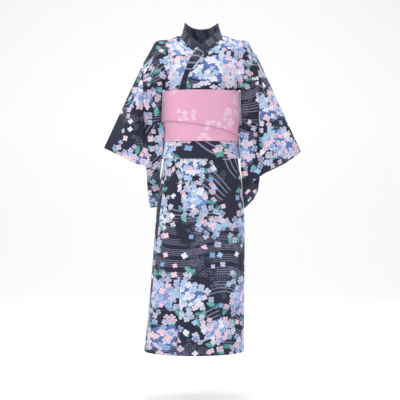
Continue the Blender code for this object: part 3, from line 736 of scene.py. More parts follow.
def shell(name, points, flat, thickness, inside, lift=None, wrap=False, other=None):
    """Closed thin shell on a net of points, with its outer face away from a place inside.

    points is rows x columns x 3, with nan where there is no cloth, and flat the same net's print
    coordinates in metres. A point's normal n is the mean of the faces round it. The net is first
    moved by n * lift; the outer face is then p + n * thickness / 2 and the inner one
    p - n * thickness / 2, and a narrow rim joins them along each free edge. wrap joins the last
    column to the first. other is the print map of the cells before a column, with that column.
    """
    rows, columns = points.shape[:2]
    width = columns - 1 if wrap else columns
    index = np.arange(rows * width).reshape(rows, width)
    if wrap:
        index = np.concatenate([index, index[:, :1]], axis=1)
    there = np.isfinite(points[..., 0])
    corner = [(0, 0), (1, 0), (1, 1), (0, 1)]
    cells = np.ones((rows - 1, columns - 1), dtype=bool)
    for a, b in corner:
        cells &= there[a:a + rows - 1, b:b + columns - 1]
    quads = np.stack([index[a:a + rows - 1, b:b + columns - 1][cells] for a, b in corner], axis=1)
    maps = np.stack([flat[a:a + rows - 1, b:b + columns - 1][cells] for a, b in corner], axis=1)
    if other is not None:
        first = np.nonzero(cells)[1] < other[1]
        maps[first] = np.stack([other[0][a:a + rows - 1, b:b + columns - 1][cells]
                                for a, b in corner], axis=1)[first]
    cloth = np.nan_to_num(points[:, :width]).reshape(-1, 3)
    crossed = face_normals(cloth, quads)
    away = cloth[quads].mean(axis=1) - np.asarray(inside)
    if (crossed * away).sum() < 0:
        quads, maps = quads[:, ::-1], maps[:, ::-1]
    if lift is not None:
        amount = np.nan_to_num(lift[:, :width]).reshape(-1, 1)
        cloth = cloth + point_normals(cloth, quads) * amount
    normal = point_normals(cloth, quads) * thickness / 2
    rims, rim_maps = shell_rims(quads, maps, len(cloth))
    faces = np.concatenate([quads, quads[:, ::-1] + len(cloth), rims])
    corners = np.concatenate([maps, maps[:, ::-1], rim_maps]).reshape(-1, 2)
    kind = np.repeat([0, 1, 0], [len(quads), len(quads), len(rims)])
    return mesh_object(name, np.concatenate([cloth + normal, cloth - normal]), faces, corners, kind)


def face_normals(cloth, quads):
    """Cross product of each quad's two diagonals."""
    return np.cross(cloth[quads[:, 2]] - cloth[quads[:, 0]], cloth[quads[:, 3]] - cloth[quads[:, 1]])


def point_normals(cloth, quads):
    """Unit normals of points, from the sum of the faces round each."""
    crossed = face_normals(cloth, quads)
    total = np.zeros_like(cloth)
    for k in range(4):
        np.add.at(total, quads[:, k], crossed)
    return total / np.maximum(np.linalg.norm(total, axis=1, keepdims=True), 1e-12)


def shell_rims(quads, maps, count):
    """Quads that join the outer and inner faces along the edges used once."""
    starts, ends = quads.reshape(-1), np.roll(quads, -1, axis=1).reshape(-1)
    start_maps, end_maps = maps.reshape(-1, 2), np.roll(maps, -1, axis=1).reshape(-1, 2)
    key = np.minimum(starts, ends).astype(np.int64) * (count + 1) + np.maximum(starts, ends)
    _, inverse, uses = np.unique(key, return_inverse=True, return_counts=True)
    free = uses[inverse] == 1
    a, b = starts[free], ends[free]
    rims = np.stack([b, a, a + count, b + count], axis=1)
    rim_maps = np.stack([end_maps[free], start_maps[free], start_maps[free], end_maps[free]], axis=1)
    return rims, rim_maps


def mesh_object(name, points, faces, corners, kind):
    """Mesh object from whole arrays, without the points that no face uses."""
    used, faces = np.unique(faces.reshape(-1), return_inverse=True)
    points, faces = points[used], faces.reshape(-1)
    mesh = bpy.data.meshes.new(name)
    mesh.vertices.add(len(points))
    mesh.vertices.foreach_set("co", points.astype(np.float32).reshape(-1))
    mesh.loops.add(len(faces))
    mesh.loops.foreach_set("vertex_index", faces.astype(np.int32))
    mesh.polygons.add(len(faces) // 4)
    mesh.polygons.foreach_set("loop_start", np.arange(0, len(faces), 4, dtype=np.int32))
    mesh.update(calc_edges=True)
    layer = mesh.uv_layers.new(name=CLOTH_MAP)
    layer.uv.foreach_set("vector", corners.astype(np.float32).reshape(-1))
    mesh.polygons.foreach_set("material_index", kind.astype(np.int32))
    mesh.polygons.foreach_set("use_smooth", np.ones(len(faces) // 4, dtype=bool))
    mesh.update()
    piece = bpy.data.objects.new(name, mesh)
    bpy.context.scene.collection.objects.link(piece)
    return piece


def flat_map(down, across, shift):
    """Print coordinates in metres from the distances down and across a net."""
    v, u = np.meshgrid(down, across, indexing="ij")
    return np.stack([u + shift[0], v + shift[1]], axis=2)


def refine_closed(points, step=FINE_STEP):
    """Fine net through a coarse one that is closed round its rows.

    The first column is repeated at the end, and two more columns lie beyond each end while the
    curves are drawn, so that the join is as smooth as the rest.
    """
    padded = np.concatenate([points[:, -2:], points, points[:, :3]], axis=1)
    down, across = along_keys(padded, 0), along_keys(padded, 1)
    across -= across[2]
    fine_down = fine_keys(down, step)
    fine_across = fine_keys(across[2:-2], step)
    fine = spline(padded, down, fine_down)
    fine = spline(fine.swapaxes(0, 1), across, fine_across).swapaxes(0, 1)
    return fine, fine_down, fine_across


def body_net(side):
    """Fine net of an upper body panel, from its front foot over the shoulder to its back foot.

    Three blocks of coarse points are curved downwards first: the torso, the flap beside the sash
    and the half of the back behind the neck. Across, they run into each other above the sash; in
    and below it the flap is apart from the torso, which leaves the slot open.
    """
    last, upper = len(SHOULDER_STEPS) - 1, len(SHOULDER_STEPS) + len(WAIST_STEPS)
    torso, flaps, middle = [], [], []
    for face in (-1, 1):
        tuck = tuck_levels() if (face > 0 or side > 0) else []
        block = [[body_point(side, face, row, p) for p in range(FRONT_COLUMNS + 1)]
                 for row in range(upper)]
        block += [[tuck_point(side, face, z, out, p) for p in range(FRONT_COLUMNS + 1)]
                  for z, out in tuck]
        places = range(FRONT_COLUMNS + 1, FRONT_COLUMNS + len(FLAP_X) + 2)
        torso.append(block)
        flaps.append([[body_point(side, face, row, p) for p in places] for row in range(upper)])
        if face > 0:
            middle = [[body_point(side, face, row, p) for p in range(-BACK_COLUMNS, 0)]
                      for row in range(upper)]
            middle += [[tuck_point(side, face, z, out, p) for p in range(-BACK_COLUMNS, 0)]
                       for z, out in tuck]
    top = len(torso[0]) - 1
    torso = np.array(torso[0][::-1] + torso[1][1:])
    flaps = np.array(flaps[0][::-1] + flaps[1][1:])
    middle = np.array(middle)
    down = along_keys(torso, 0)
    fine_down = fine_keys(down, FINE_STEP)
    flap_down = down[top - upper + 1:top + upper]
    gap = np.linalg.norm(torso[top - last:top + last, -1] - flaps[upper - 1 - last:upper - 1 + last, 0],
                         axis=1).mean()
    neck_gap = np.linalg.norm(middle[:, -1] - torso[top:, 0], axis=1).mean()
    torso_across = along_keys(torso, 1)
    flap_across = along_keys(flaps, 1) + torso_across[-1] + gap
    middle_across = along_keys(middle, 1)
    middle_across -= middle_across[-1] + neck_gap
    fine_across = fine_keys(np.concatenate([middle_across, torso_across, flap_across]), FINE_STEP)
    fine = np.full((len(fine_down), len(fine_across), 3), np.nan)
    small = FINE_STEP / 50
    for k, at in enumerate(fine_down):
        here = np.array([at])
        line = spline(torso, down, here)[0]
        back = at > down[top] - small
        above = down[top - last] - small < at < down[top + last] + small
        keys = torso_across
        if back:
            line = np.concatenate([spline(middle, down[top:], here)[0], line])
            keys = np.concatenate([middle_across, keys])
        parts = [(keys, line)]
        if flap_down[0] - small < at < flap_down[-1] + small:
            flap = spline(flaps, flap_down, here)[0]
            parts.append((flap_across, flap))
            if above:
                parts = [(np.concatenate([keys, flap_across]), np.concatenate([line, flap]))]
        for part_keys, part in parts:
            within = (fine_across > part_keys[0] - small) & (fine_across < part_keys[-1] + small)
            fine[k, within] = spline(part, part_keys, fine_across[within])
    return fine, fine_down - down[top], fine_across


def body_lift(points, down, across):
    """Creases of an upper body panel, still at the shoulder fold and at the armhole."""
    front = down < 0
    chest = np.where(front[:, None], chest_creases(points), chest_creases(points, back=True))
    shoulder_fade = np.clip(np.abs(down) / 0.050, 0, 1)[:, None]
    armhole_fade = np.clip((across[-1] - across) / 0.025, 0, 1)[None, :]
    below = np.clip((-points[..., 2] - 0.385) / 0.010, 0, 1)
    return chest * shoulder_fade * armhole_fade * (1 - below) + skirt_creases(points) * below


def skirt_net(start, stop, out):
    """Fine net of a skirt panel between two edges, each a function of height."""
    steps = max(2, round(abs(stop(HEM_Z) - start(HEM_Z)) / RING_STEP)) + 1
    rows = [[ring(a, z, out(a, z)) for a in np.linspace(start(z), stop(z), steps)]
            for z in SKIRT_STEPS]
    return refine(np.array(rows))


def over_edge(z):
    """Free edge of the upper front, near the wearer's right side."""
    return 152 + 12 * ease(-z, 0.40, 1.15)


def okumi_seam(z):
    """Seam between the upper front and its overlap panel."""
    return 118 - 8 * ease(-z, 0.40, 1.15)


def over_out(degrees, z):
    """Layer of the upper front, which meets the back at the side seam."""
    return OVER_SKIRT * ease(degrees, 0, 15)


def under_out(degrees, z):
    """Layer of the lower front and the back."""
    return 0.0


def okumi_net():
    """Fine net of the upper front's overlap panel, from its point to the tuck."""
    rows = []
    for z, out in [(z, BODY_OUT) for z in (-0.270, -0.300, -0.330)] + tuck_levels():
        first = edge_at("panel_edge", z) + seam_angle(z) * 2
        stop = max(edge_at("okumi_edge", z) - seam_angle(z) * 2, first + 1.5)
        rows.append([ring(a, z, out) for a in np.linspace(first, stop, 7)])
    return refine(np.array(rows))


def collar_pairs(side):
    """Seam and free edge of the collar from the centre of the back to the front's end."""
    pairs = []
    for seam_x, seam_y, seam_z, free_x, free_y, free_z in NECK_ROWS:
        pairs.append(((side * seam_x, seam_y, seam_z), (side * free_x, free_y, free_z)))
    for fall in SHOULDER_STEPS:
        seam = chest_point(side, -1, fall, 0)
        free_x = look_up(COLLAR_ROWS, COLLAR, "seam_z", "free_x", seam[2])
        free_z = look_up(COLLAR_ROWS, COLLAR, "seam_z", "free_z", seam[2])
        stand = 1 - ease(fall, 0.0, 0.3)
        free_y = chest_half(free_x, free_z, -1) * (1 - stand) + COLLAR_STAND_Y * stand
        if side < 0:
            free_y += under_shift(free_x)
        pairs.append((seam, (side * free_x, free_y, free_z)))
    for z in (-0.235, -0.270, -0.300):
        edges = [edge_at("collar_seam", z) + seam_angle(z) * 2, edge_at("collar_free", z)]
        turned = [degrees if side > 0 else 180 - degrees for degrees in edges]
        pairs.append(tuple(ring(degrees, z, BODY_OUT if side > 0 else TUCK_IN) for degrees in turned))
    return pairs


def collar_net():
    """Fine net of the collar strip, from the wearer's right front to the left one."""
    rows = []
    for seam, free in collar_pairs(-1)[:0:-1] + collar_pairs(1):
        seam, free = np.array(seam), np.array(free)
        along = (free - seam) / np.linalg.norm(free - seam)
        gap = COLLAR_GAP + COLLAR_LIFT * ease(seam[2], -0.060, -0.020)
        seam = seam + along * (gap - NECK_TUCK * ease(seam[1], 0.015, 0.060))
        rows.append([seam + (free - seam) * share for share in (0.0, 0.5, 1.0)])
    return refine(np.array(rows), FINE_STEP * 0.8)


def sleeve_rows(side, face):
    """Rows across the sleeve's layer from the top fold to the bottom fold, and their reaches."""
    table = sleeve_table(side, face)
    reach = column(table, SLEEVE, "reach")
    steps = [ARMHOLE_REACH * step for step in armhole_steps()]
    steps += list(reach[reach > ARMHOLE_REACH + 0.01])
    rows = []
    for at in steps:
        inner, outer = (np.array([float(curve(at, reach, column(table, SLEEVE, edge + axis)))
                                  for axis in ("_x", "_y", "_z")]) for edge in ("inner", "outer"))
        row = []
        for share in np.linspace(0, 1, SLEEVE_COLUMNS + 1):
            point = inner + (outer - inner) * share
            hollow = math.sin(math.pi * share) * math.sin(math.pi * min(at / HOLLOW_REACH, 1.0))
            point[1] += face * SLEEVE_HOLLOW * hollow
            row.append((side * point[0], point[1], point[2]))
        rows.append(row)
    rows[-1] = [(x, y + face * BOTTOM_FOLD, z) for x, y, z in rows[-1]]
    return rows, steps


def sleeve_net(side):
    """Fine net of a sleeve, its rows closed from the bottom seam over the top fold.

    The width is the distance from the inner edge and the reach the signed distance from the top
    fold, both in cloth.
    """
    front, front_reach = sleeve_rows(side, -1)
    back, back_reach = sleeve_rows(side, 1)
    loop = back[::-1] + front[1:]
    signed = back_reach[::-1] + [-reach for reach in front_reach[1:]]
    signed.append(signed[-1] - 2 * BOTTOM_FOLD)
    coarse = np.array(loop).swapaxes(0, 1)
    fine, down, across = refine_closed(coarse)
    rounds = np.concatenate([coarse[:, -2:], coarse, coarse[:, :3]], axis=1)
    keys = along_keys(rounds, 1)
    keys = keys[2:-2] - keys[2]
    reach = np.interp(across, keys, signed)
    width = down / down[-1] * SLEEVE_WIDTH
    return fine, width, reach


def hung_map(points, reach, face):
    """Print coordinates of one layer of a hanging sleeve: level distance round it, and height.

    With n the unit normal and h = n x up / |n x up|, the level distance is the sum of (p' - p) . h,
    first along the top fold, with the h of this layer beside it, and then round from that fold.
    """
    normal = np.cross(np.gradient(points, axis=0), np.gradient(points, axis=1))
    level = np.stack([normal[..., 1], -normal[..., 0]], axis=2)
    level /= np.maximum(np.linalg.norm(level, axis=2, keepdims=True), 1e-12)
    flat = points[..., :2]
    round_steps = (np.diff(flat, axis=1) * (level[:, 1:] + level[:, :-1]) / 2).sum(axis=2)
    u = np.concatenate([np.zeros((len(points), 1)), np.cumsum(round_steps, axis=1)], axis=1)
    fold = int(np.argmin(np.abs(reach)))
    beside = int(np.argmin(np.abs(reach - face * FOLD_SIDE)))
    along = (np.diff(flat[:, fold], axis=0) * level[1:, beside]).sum(axis=1)
    start = np.concatenate([[0.0], np.cumsum(along)])
    return np.stack([u - u[:, fold:fold + 1] + start[:, None], points[..., 2]], axis=2)


def sleeve_lift(width, reach):
    """Creases of a sleeve, still at the armhole and in its top and bottom folds."""
    a, b = np.meshgrid(width, reach, indexing="ij")
    fade = np.clip(a / 0.030, 0, 1) * np.clip(np.abs(b) / 0.020, 0, 1)
    return crease_field(a, b, SLEEVE_CREASES) * fade * np.clip((0.47 - np.abs(b)) / 0.04, 0, 1)


def sash_net(levels, out):
    """Fine net of a turn of the sash; levels gives its heights at an angle."""
    angles = np.arange(0, 360, RING_STEP)
    heights = np.array([levels(a) for a in angles])
    rows = [[ring(a, z, out) for a, z in zip(angles, heights[:, k])] for k in range(heights.shape[1])]
    return refine_closed(np.array(rows))


def upper_levels(degrees):
    """Heights of the outer sash turn, whose lower edge slants over the front."""
    low = float(curve(degrees, SASH_SLANT_ROWS[:, 0], SASH_SLANT_ROWS[:, 1]))
    return [SASH_TOP_Z + (low - SASH_TOP_Z) * share for share in (0.0, 0.15, 0.5, 0.85, 1.0)]


def lower_levels(degrees):
    """Heights of the inner sash turn."""
    return LOWER_TURN_STEPS


def band_net(start, stop, width, out):
    """Fine net of a flat length of sash on the back between two places."""
    metre = 1 / (SASH_RADIUS * math.radians(1))
    along = np.array([(stop[0] - start[0]) / metre, stop[1] - start[1]])
    across = np.array([-along[1], along[0]]) / np.linalg.norm(along)
    rows = []
    for share in np.linspace(0, 1, 7):
        row = []
        for side in np.linspace(-0.5, 0.5, 6):
            degrees = start[0] + (stop[0] - start[0]) * share + across[0] * width * side * metre
            z = start[1] + (stop[1] - start[1]) * share + across[1] * width * side
            row.append(ring(degrees, z, out))
        rows.append(row)
    return refine(np.array(rows))


class Graph:
    """Short way to write a node tree; each call adds one node and gives its output."""

    def __init__(self, tree):
        self.tree = tree

    def node(self, kind, *values, **settings):
        """Any node, with its settings and then its inputs in order."""
        made = self.tree.nodes.new(kind)
        for key, value in settings.items():
            setattr(made, key, value)
        for socket, value in zip(made.inputs, values):
            self.feed(socket, value)
        return made

    def feed(self, socket, value):
        """Links a socket to an output, or sets its value."""
        if isinstance(value, bpy.types.NodeSocket):
            self.tree.links.new(value, socket)
        elif value is not None:
            socket.default_value = value

    def math(self, operation, *values, clamp=False):
        """One number from up to three."""
        return self.node("ShaderNodeMath", *values, operation=operation, use_clamp=clamp).outputs[0]

    def vector(self, operation, *values):
        """One vector, or its length, from vectors."""
        made = self.node("ShaderNodeVectorMath", *values, operation=operation)
        return made.outputs["Value" if operation in ("LENGTH", "DISTANCE") else "Vector"]

    def scaled(self, vector, scale):
        """Vector times a number."""
        made = self.node("ShaderNodeVectorMath", vector, operation="SCALE")
        self.feed(made.inputs["Scale"], scale)
        return made.outputs["Vector"]

    def split(self, vector):
        """The three numbers of a vector."""
        return self.node("ShaderNodeSeparateXYZ", vector).outputs

    def soft(self, value, low, high):
        """Soft step from 0 at low to 1 at high."""
        made = self.node("ShaderNodeMapRange", value, low, high, interpolation_type="SMOOTHSTEP")
        return made.outputs[0]

    def mix(self, factor, a, b, blend="MIX"):
        """Colour between two."""
        made = self.node("ShaderNodeMix", data_type="RGBA", blend_type=blend)
        self.feed(made.inputs[0], factor)
        self.feed(made.inputs[6], a)
        self.feed(made.inputs[7], b)
        return made.outputs[2]

    def ramp(self, value, colours):
        """Colour from a row of evenly spread colours."""
        made = self.node("ShaderNodeValToRGB", value)
        ramp = made.color_ramp
        ramp.interpolation = "CONSTANT"
        for k, colour in enumerate(colours):
            at = k / len(colours)
            stop = ramp.elements[k] if k < 2 else ramp.elements.new(at)
            stop.position = at
            stop.color = colour
        return made.outputs[0]

    def cells(self, vector, size, spread=1.0):
        """Nearest of a scatter of places: its position and its three random numbers."""
        made = self.node("ShaderNodeTexVoronoi", voronoi_dimensions="2D", feature="F1")
        self.feed(made.inputs["Vector"], vector)
        self.feed(made.inputs["Scale"], self.math("DIVIDE", 1.0, size))
        self.feed(made.inputs["Randomness"], spread)
        return made.outputs["Position"], self.node("ShaderNodeSeparateColor",
                                                   made.outputs["Color"]).outputs

    def noise(self, vector, scale, detail=2.0):
        """Soft random field between 0 and 1."""
        made = self.node("ShaderNodeTexNoise", noise_dimensions="2D")
        self.feed(made.inputs["Vector"], vector)
        self.feed(made.inputs["Scale"], scale)
        self.feed(made.inputs["Detail"], detail)
        return made.outputs[0]

    def group(self, tree, **values):
        """Node group with its inputs set by name, spaces written as underscores."""
        made = self.node("ShaderNodeGroup", node_tree=tree)
        for key, value in values.items():
            self.feed(made.inputs[key.replace("_", " ")], value)
        return made.outputs


def new_group(name, inputs, outputs):
    """Empty shader node group with its sockets, and the graph, ins and outs to fill it."""
    tree = bpy.data.node_groups.new(name, "ShaderNodeTree")
    kinds = {"value": "NodeSocketFloat", "vector": "NodeSocketVector", "colour": "NodeSocketColor"}
    for way, sockets in (("INPUT", inputs), ("OUTPUT", outputs)):
        for label, kind in sockets:
            tree.interface.new_socket(name=label, in_out=way, socket_type=kinds[kind])
    graph = Graph(tree)
    return tree, graph, graph.node("NodeGroupInput").outputs, graph.node("NodeGroupOutput").inputs


def cluster_group():
    """Round flower heads: how far inside one a place lies, in metres, and the head's numbers."""
    tree, g, ins, outs = new_group("Flower Heads", [("Vector", "vector"), ("Spacing", "value"),
                                                    ("Radius", "value")],
                                   [("Inside", "value"), ("Tint", "value")])
    place, random = g.cells(ins["Vector"], ins["Spacing"], 0.85)
    distance = g.vector("DISTANCE", ins["Vector"], place)
    radius = g.math("MULTIPLY", ins["Radius"], g.math("MULTIPLY_ADD", random[1], 0.55, 0.70))
    g.feed(outs["Inside"], g.math("SUBTRACT", radius, distance))
    g.feed(outs["Tint"], random[0])
    return tree


def floret_group():
    """Scatter of four-petalled flowers.

    In a flower's own polar coordinates the outline is r = size * (base + depth * |cos 2a| ** 0.6),
    with a random turn for each flower; a dark line parts the petals but stops short of the middle.
    """
    tree, g, ins, outs = new_group("Florets", [("Vector", "vector"), ("Spacing", "value"),
                                               ("Size", "value"), ("Seed", "value")],
                                   [("Mask", "value"), ("Rim", "value"), ("Vein", "value"),
                                    ("Chance", "value"), ("Tint", "value"), ("Centre", "vector")])
    shift = g.scaled((1.73, 0.91, 0.0), ins["Seed"])
    moved = g.vector("ADD", ins["Vector"], shift)
    place, random = g.cells(moved, ins["Spacing"], 0.9)
    local = g.vector("SUBTRACT", moved, place)
    x, y, _ = g.split(local)
    turn = g.math("MULTIPLY_ADD", random[0], 1.571, g.math("ARCTAN2", y, x))
    petal = g.math("ABSOLUTE", g.math("COSINE", g.math("MULTIPLY", turn, 2.0)))
    size = g.math("MULTIPLY", ins["Size"], g.math("MULTIPLY_ADD", random[2], 0.35, 0.80))
    outline = g.math("MULTIPLY", size, g.math("MULTIPLY_ADD", g.math("POWER", petal, 0.6), 0.55, 0.45))
    share = g.math("DIVIDE", g.vector("LENGTH", local), outline)
    g.feed(outs["Mask"], g.soft(share, 1.0, 0.88))
    g.feed(outs["Rim"], g.math("MULTIPLY", g.soft(share, 0.62, 0.85), g.soft(share, 1.0, 0.92)))
    g.feed(outs["Vein"], g.math("MULTIPLY", g.soft(petal, 0.30, 0.05), g.soft(share, 0.10, 0.30)))
    g.feed(outs["Chance"], random[1])
    g.feed(outs["Tint"], random[0])
    g.feed(outs["Centre"], g.vector("SUBTRACT", place, shift))
    return tree


def leaf_group():
    """Scatter of pointed leaves: |y| < width * (1 - (x / length) ** 2) in a leaf's own turned map."""
    tree, g, ins, outs = new_group("Leaves", [("Vector", "vector"), ("Spacing", "value"),
                                              ("Length", "value")],
                                   [("Mask", "value"), ("Vein", "value"), ("Chance", "value"),
                                    ("Tint", "value"), ("Centre", "vector")])
    place, random = g.cells(ins["Vector"], ins["Spacing"], 0.9)
    local = g.vector("SUBTRACT", ins["Vector"], place)
    angle = g.math("MULTIPLY", random[0], 6.283)
    turned = g.node("ShaderNodeVectorRotate", rotation_type="Z_AXIS")
    g.feed(turned.inputs["Vector"], local)
    g.feed(turned.inputs["Angle"], angle)
    x, y, _ = g.split(turned.outputs[0])
    share = g.math("DIVIDE", x, ins["Length"])
    teeth = g.math("MULTIPLY", g.math("SINE", g.math("MULTIPLY", share, 34.0)), 0.03)
    bow = g.math("SUBTRACT", 1.0, g.math("MULTIPLY", share, share))
    half = g.math("MULTIPLY", ins["Length"], g.math("MULTIPLY", g.math("ADD", bow, teeth), 0.60))
    room = g.math("SUBTRACT", half, g.math("ABSOLUTE", y))
    g.feed(outs["Mask"], g.soft(room, 0.0, 0.0010))
    slope = g.math("ABSOLUTE", g.math("SUBTRACT", g.math("ABSOLUTE", y), g.math("MULTIPLY", x, 0.25)))
    middle = g.soft(g.math("ABSOLUTE", y), 0.0012, 0.0004)
    g.feed(outs["Vein"], g.math("MAXIMUM", middle, g.math("MULTIPLY", g.soft(slope, 0.0010, 0.0002), 0.5)))
    g.feed(outs["Chance"], random[1])
    g.feed(outs["Tint"], random[2])
    g.feed(outs["Centre"], place)
    return tree


def fish_group():
    """Scatter of small fish: an oval body and a split fan of a tail, turned at random."""
    tree, g, ins, outs = new_group("Small Fish", [("Vector", "vector"), ("Spacing", "value"),
                                                  ("Length", "value")],
                                   [("Mask", "value"), ("Mark", "value"), ("Chance", "value")])
    place, random = g.cells(ins["Vector"], ins["Spacing"], 0.6)
    local = g.vector("SUBTRACT", ins["Vector"], place)
    turned = g.node("ShaderNodeVectorRotate", rotation_type="Z_AXIS")
    g.feed(turned.inputs["Vector"], g.scaled(local, g.math("DIVIDE", 1.0, ins["Length"])))
    g.feed(turned.inputs["Angle"], g.math("MULTIPLY", random[0], 6.283))
    x, y, _ = g.split(turned.outputs[0])
    bent = g.math("SUBTRACT", y, g.math("MULTIPLY", g.math("MULTIPLY", x, x), 0.25))
    side = g.math("ABSOLUTE", bent)
    oval = g.math("SQRT", g.math("ADD", g.math("POWER", g.math("MULTIPLY", x, 2.0), 2.0),
                                 g.math("POWER", g.math("MULTIPLY", bent, 4.4), 2.0)))
    body = g.soft(oval, 1.0, 0.88)
    back = g.math("SUBTRACT", -0.36, x)
    fan = g.soft(g.math("SUBTRACT", g.math("MULTIPLY", back, 0.75), side), -0.01, 0.03)
    notch = g.soft(g.math("ADD", g.math("SUBTRACT", 0.66, back), g.math("MULTIPLY", side, 0.6)), 0.18, 0.24)
    tail = g.math("MULTIPLY", g.math("MULTIPLY", fan, g.soft(back, 0.62, 0.56)), notch)
    scales = g.math("SINE", g.math("MULTIPLY", x, 40.0))
    g.feed(outs["Mask"], g.math("MAXIMUM", body, tail))
    g.feed(outs["Mark"], g.math("MULTIPLY", g.soft(scales, 0.2, 0.9), body))
    g.feed(outs["Chance"], random[1])
    return tree


def print_group():
    """The whole print on a flat cloth map, from the ground up to the flower heads.

    From below: dyed ground, thin stream lines, leaves round the heads, three scatters of florets
    inside them, small loose blossoms, patches of tiny outlined blossoms, and a few fish. Heads is
    how much of the dense print shows.
    """
    tree, g, ins, outs = new_group("Robe Print", [("Vector", "vector"), ("Heads", "value")],
                                   [("Color", "colour"), ("Ink", "value"), ("Weave", "value")])
    heads, florets, leaves, fish = cluster_group(), floret_group(), leaf_group(), fish_group()
    at = ins["Vector"]
    off = g.math("MULTIPLY", g.math("SUBTRACT", 1.0, ins["Heads"]), -1.0)

    def inside(place):
        made = g.group(heads, Vector=place, Spacing=HEAD_SPACING, Radius=HEAD_RADIUS)
        return g.math("ADD", made["Inside"], off), made["Tint"]

    def laid(mask, shade):
        return g.mix(mask, colour, shade), g.math("MAXIMUM", ink, mask)

    ground = g.mix(g.noise(at, 9.0), INK["ground"], INK["ground_light"])
    x, y, _ = g.split(at)
    run = g.math("MULTIPLY_ADD", g.noise(at, 3.2, 0.0), STREAM_SWAY,
                 g.math("MULTIPLY_ADD", x, STREAM_TILT, y))
    rings = g.math("FRACT", g.math("DIVIDE", run, STREAM_SPACING))
    line = g.soft(g.math("ABSOLUTE", g.math("SUBTRACT", rings, 0.5)), *STREAM_LINE)
    bundle = g.math("ABSOLUTE", g.math("SUBTRACT", g.math("FRACT", g.math("DIVIDE", run, STREAM_BUNDLE)),
                                       0.5))
    plain = g.soft(g.noise(g.vector("ADD", at, (3.1, 5.7, 0.0)), 6.0, 0.0), 0.44, 0.50)
    ink = g.math("MULTIPLY", g.math("MULTIPLY", line, plain), g.math("LESS_THAN", bundle, STREAM_HALF))
    colour = g.mix(g.math("MULTIPLY", ink, STREAM_INK), ground, INK["stream"])

    leaf = g.group(leaves, Vector=at, Spacing=LEAF_SPACING, Length=LEAF_LENGTH)
    depth, _ = inside(leaf["Centre"])
    ring_of_leaves = g.math("MULTIPLY", g.soft(depth, *LEAF_RING), g.soft(depth, *LEAF_INNER))
    shown = g.math("MULTIPLY", g.math("GREATER_THAN", ring_of_leaves, 0.5),
                   g.math("GREATER_THAN", leaf["Chance"], LEAF_CHANCE))
    mask = g.math("MULTIPLY", leaf["Mask"], shown)
    green = g.mix(leaf["Tint"], INK["leaf_dark"], INK["leaf"])
    green = g.mix(g.math("MULTIPLY", leaf["Vein"], 0.8), green, INK["leaf_vein"])
    colour, ink = laid(mask, green)

    wash, tint = inside(at)
    wash = g.math("ADD", wash, g.math("MULTIPLY_ADD", g.noise(at, 42.0), WASH_WAVE, -WASH_WAVE / 2))
    mask = g.soft(wash, *WASH_EDGE)
    colour, ink = laid(mask, g.ramp(tint, [INK[name] for name in WASHES]))

    for seed, spacing, size in FLORET_LAYERS:
        flower = g.group(florets, Vector=at, Spacing=spacing, Size=size, Seed=seed)
        depth, tint = inside(flower["Centre"])
        thinned = g.math("MULTIPLY_ADD", flower["Chance"], HEAD_FRINGE, -0.55 * HEAD_FRINGE)
        shown = g.math("GREATER_THAN", g.math("ADD", depth, thinned), 0.0)
        mask = g.math("MULTIPLY", flower["Mask"], shown)
        mixed = g.math("FRACT", g.math("MULTIPLY_ADD", flower["Tint"], 0.42, tint))
        petal = g.ramp(mixed, [INK[name] for name in PETALS])
        petal = g.mix(g.math("MULTIPLY", g.soft(depth, 0.030, 0.0), 0.35), petal, INK["petal_edge"])
        petal = g.mix(g.math("MULTIPLY", flower["Rim"], 0.55), petal, INK["white"])
        petal = g.mix(g.math("MULTIPLY", flower["Vein"], 0.75), petal, INK["petal_line"])
        colour, ink = laid(mask, petal)

    loose = g.group(florets, Vector=at, Spacing=LOOSE_SPACING, Size=LOOSE_SIZE, Seed=LOOSE_SEED)
    depth, _ = inside(loose["Centre"])
    shown = g.math("MULTIPLY", g.math("LESS_THAN", depth, LOOSE_CLEAR),
                   g.math("GREATER_THAN", loose["Chance"],
                          g.math("MULTIPLY_ADD", ins["Heads"], -0.35, 0.92)))
    mask = g.math("MULTIPLY", loose["Mask"], shown)
    colour, ink = laid(mask, g.ramp(loose["Tint"], [INK[name] for name in PETALS]))

    tiny = g.group(florets, Vector=at, Spacing=TINY_SPACING, Size=TINY_SIZE, Seed=TINY_SEED)
    patch = g.noise(g.vector("ADD", tiny["Centre"], (7.7, 2.3, 0.0)), 8.0, 0.0)
    depth, _ = inside(tiny["Centre"])
    shown = g.math("MULTIPLY", g.math("LESS_THAN", depth, TINY_CLEAR),
                   g.math("GREATER_THAN", patch, TINY_PATCH))
    outline = g.math("MAXIMUM", tiny["Rim"], g.math("MULTIPLY", tiny["Vein"], tiny["Mask"]))
    mask = g.math("MULTIPLY", g.math("MULTIPLY", outline, shown), 0.55)
    colour, ink = laid(mask, INK["stream"])

    swimmer = g.group(fish, Vector=at, Spacing=FISH_SPACING, Length=FISH_LENGTH)
    mask = g.math("MULTIPLY", swimmer["Mask"], g.math("GREATER_THAN", swimmer["Chance"], FISH_CHANCE))
    mask = g.math("MULTIPLY", mask, g.math("GREATER_THAN", ins["Heads"], 0.5))
    body = g.mix(g.math("MULTIPLY", swimmer["Mark"], 0.5), INK["fish"], INK["fish_mark"])
    colour, ink = laid(mask, body)

    x, y, _ = g.split(g.scaled(at, 2 * math.pi / THREAD))
    weave = g.math("MULTIPLY", g.math("SINE", x), g.math("SINE", y))
    worn = g.math("MULTIPLY_ADD", g.noise(at, 60.0, 4.0), 0.16, 0.92)
    shade = g.node("ShaderNodeCombineColor", worn, worn, worn).outputs[0]
    g.feed(outs["Color"], g.mix(1.0, colour, shade, "MULTIPLY"))
    g.feed(outs["Ink"], ink)
    g.feed(outs["Weave"], weave)
    return tree


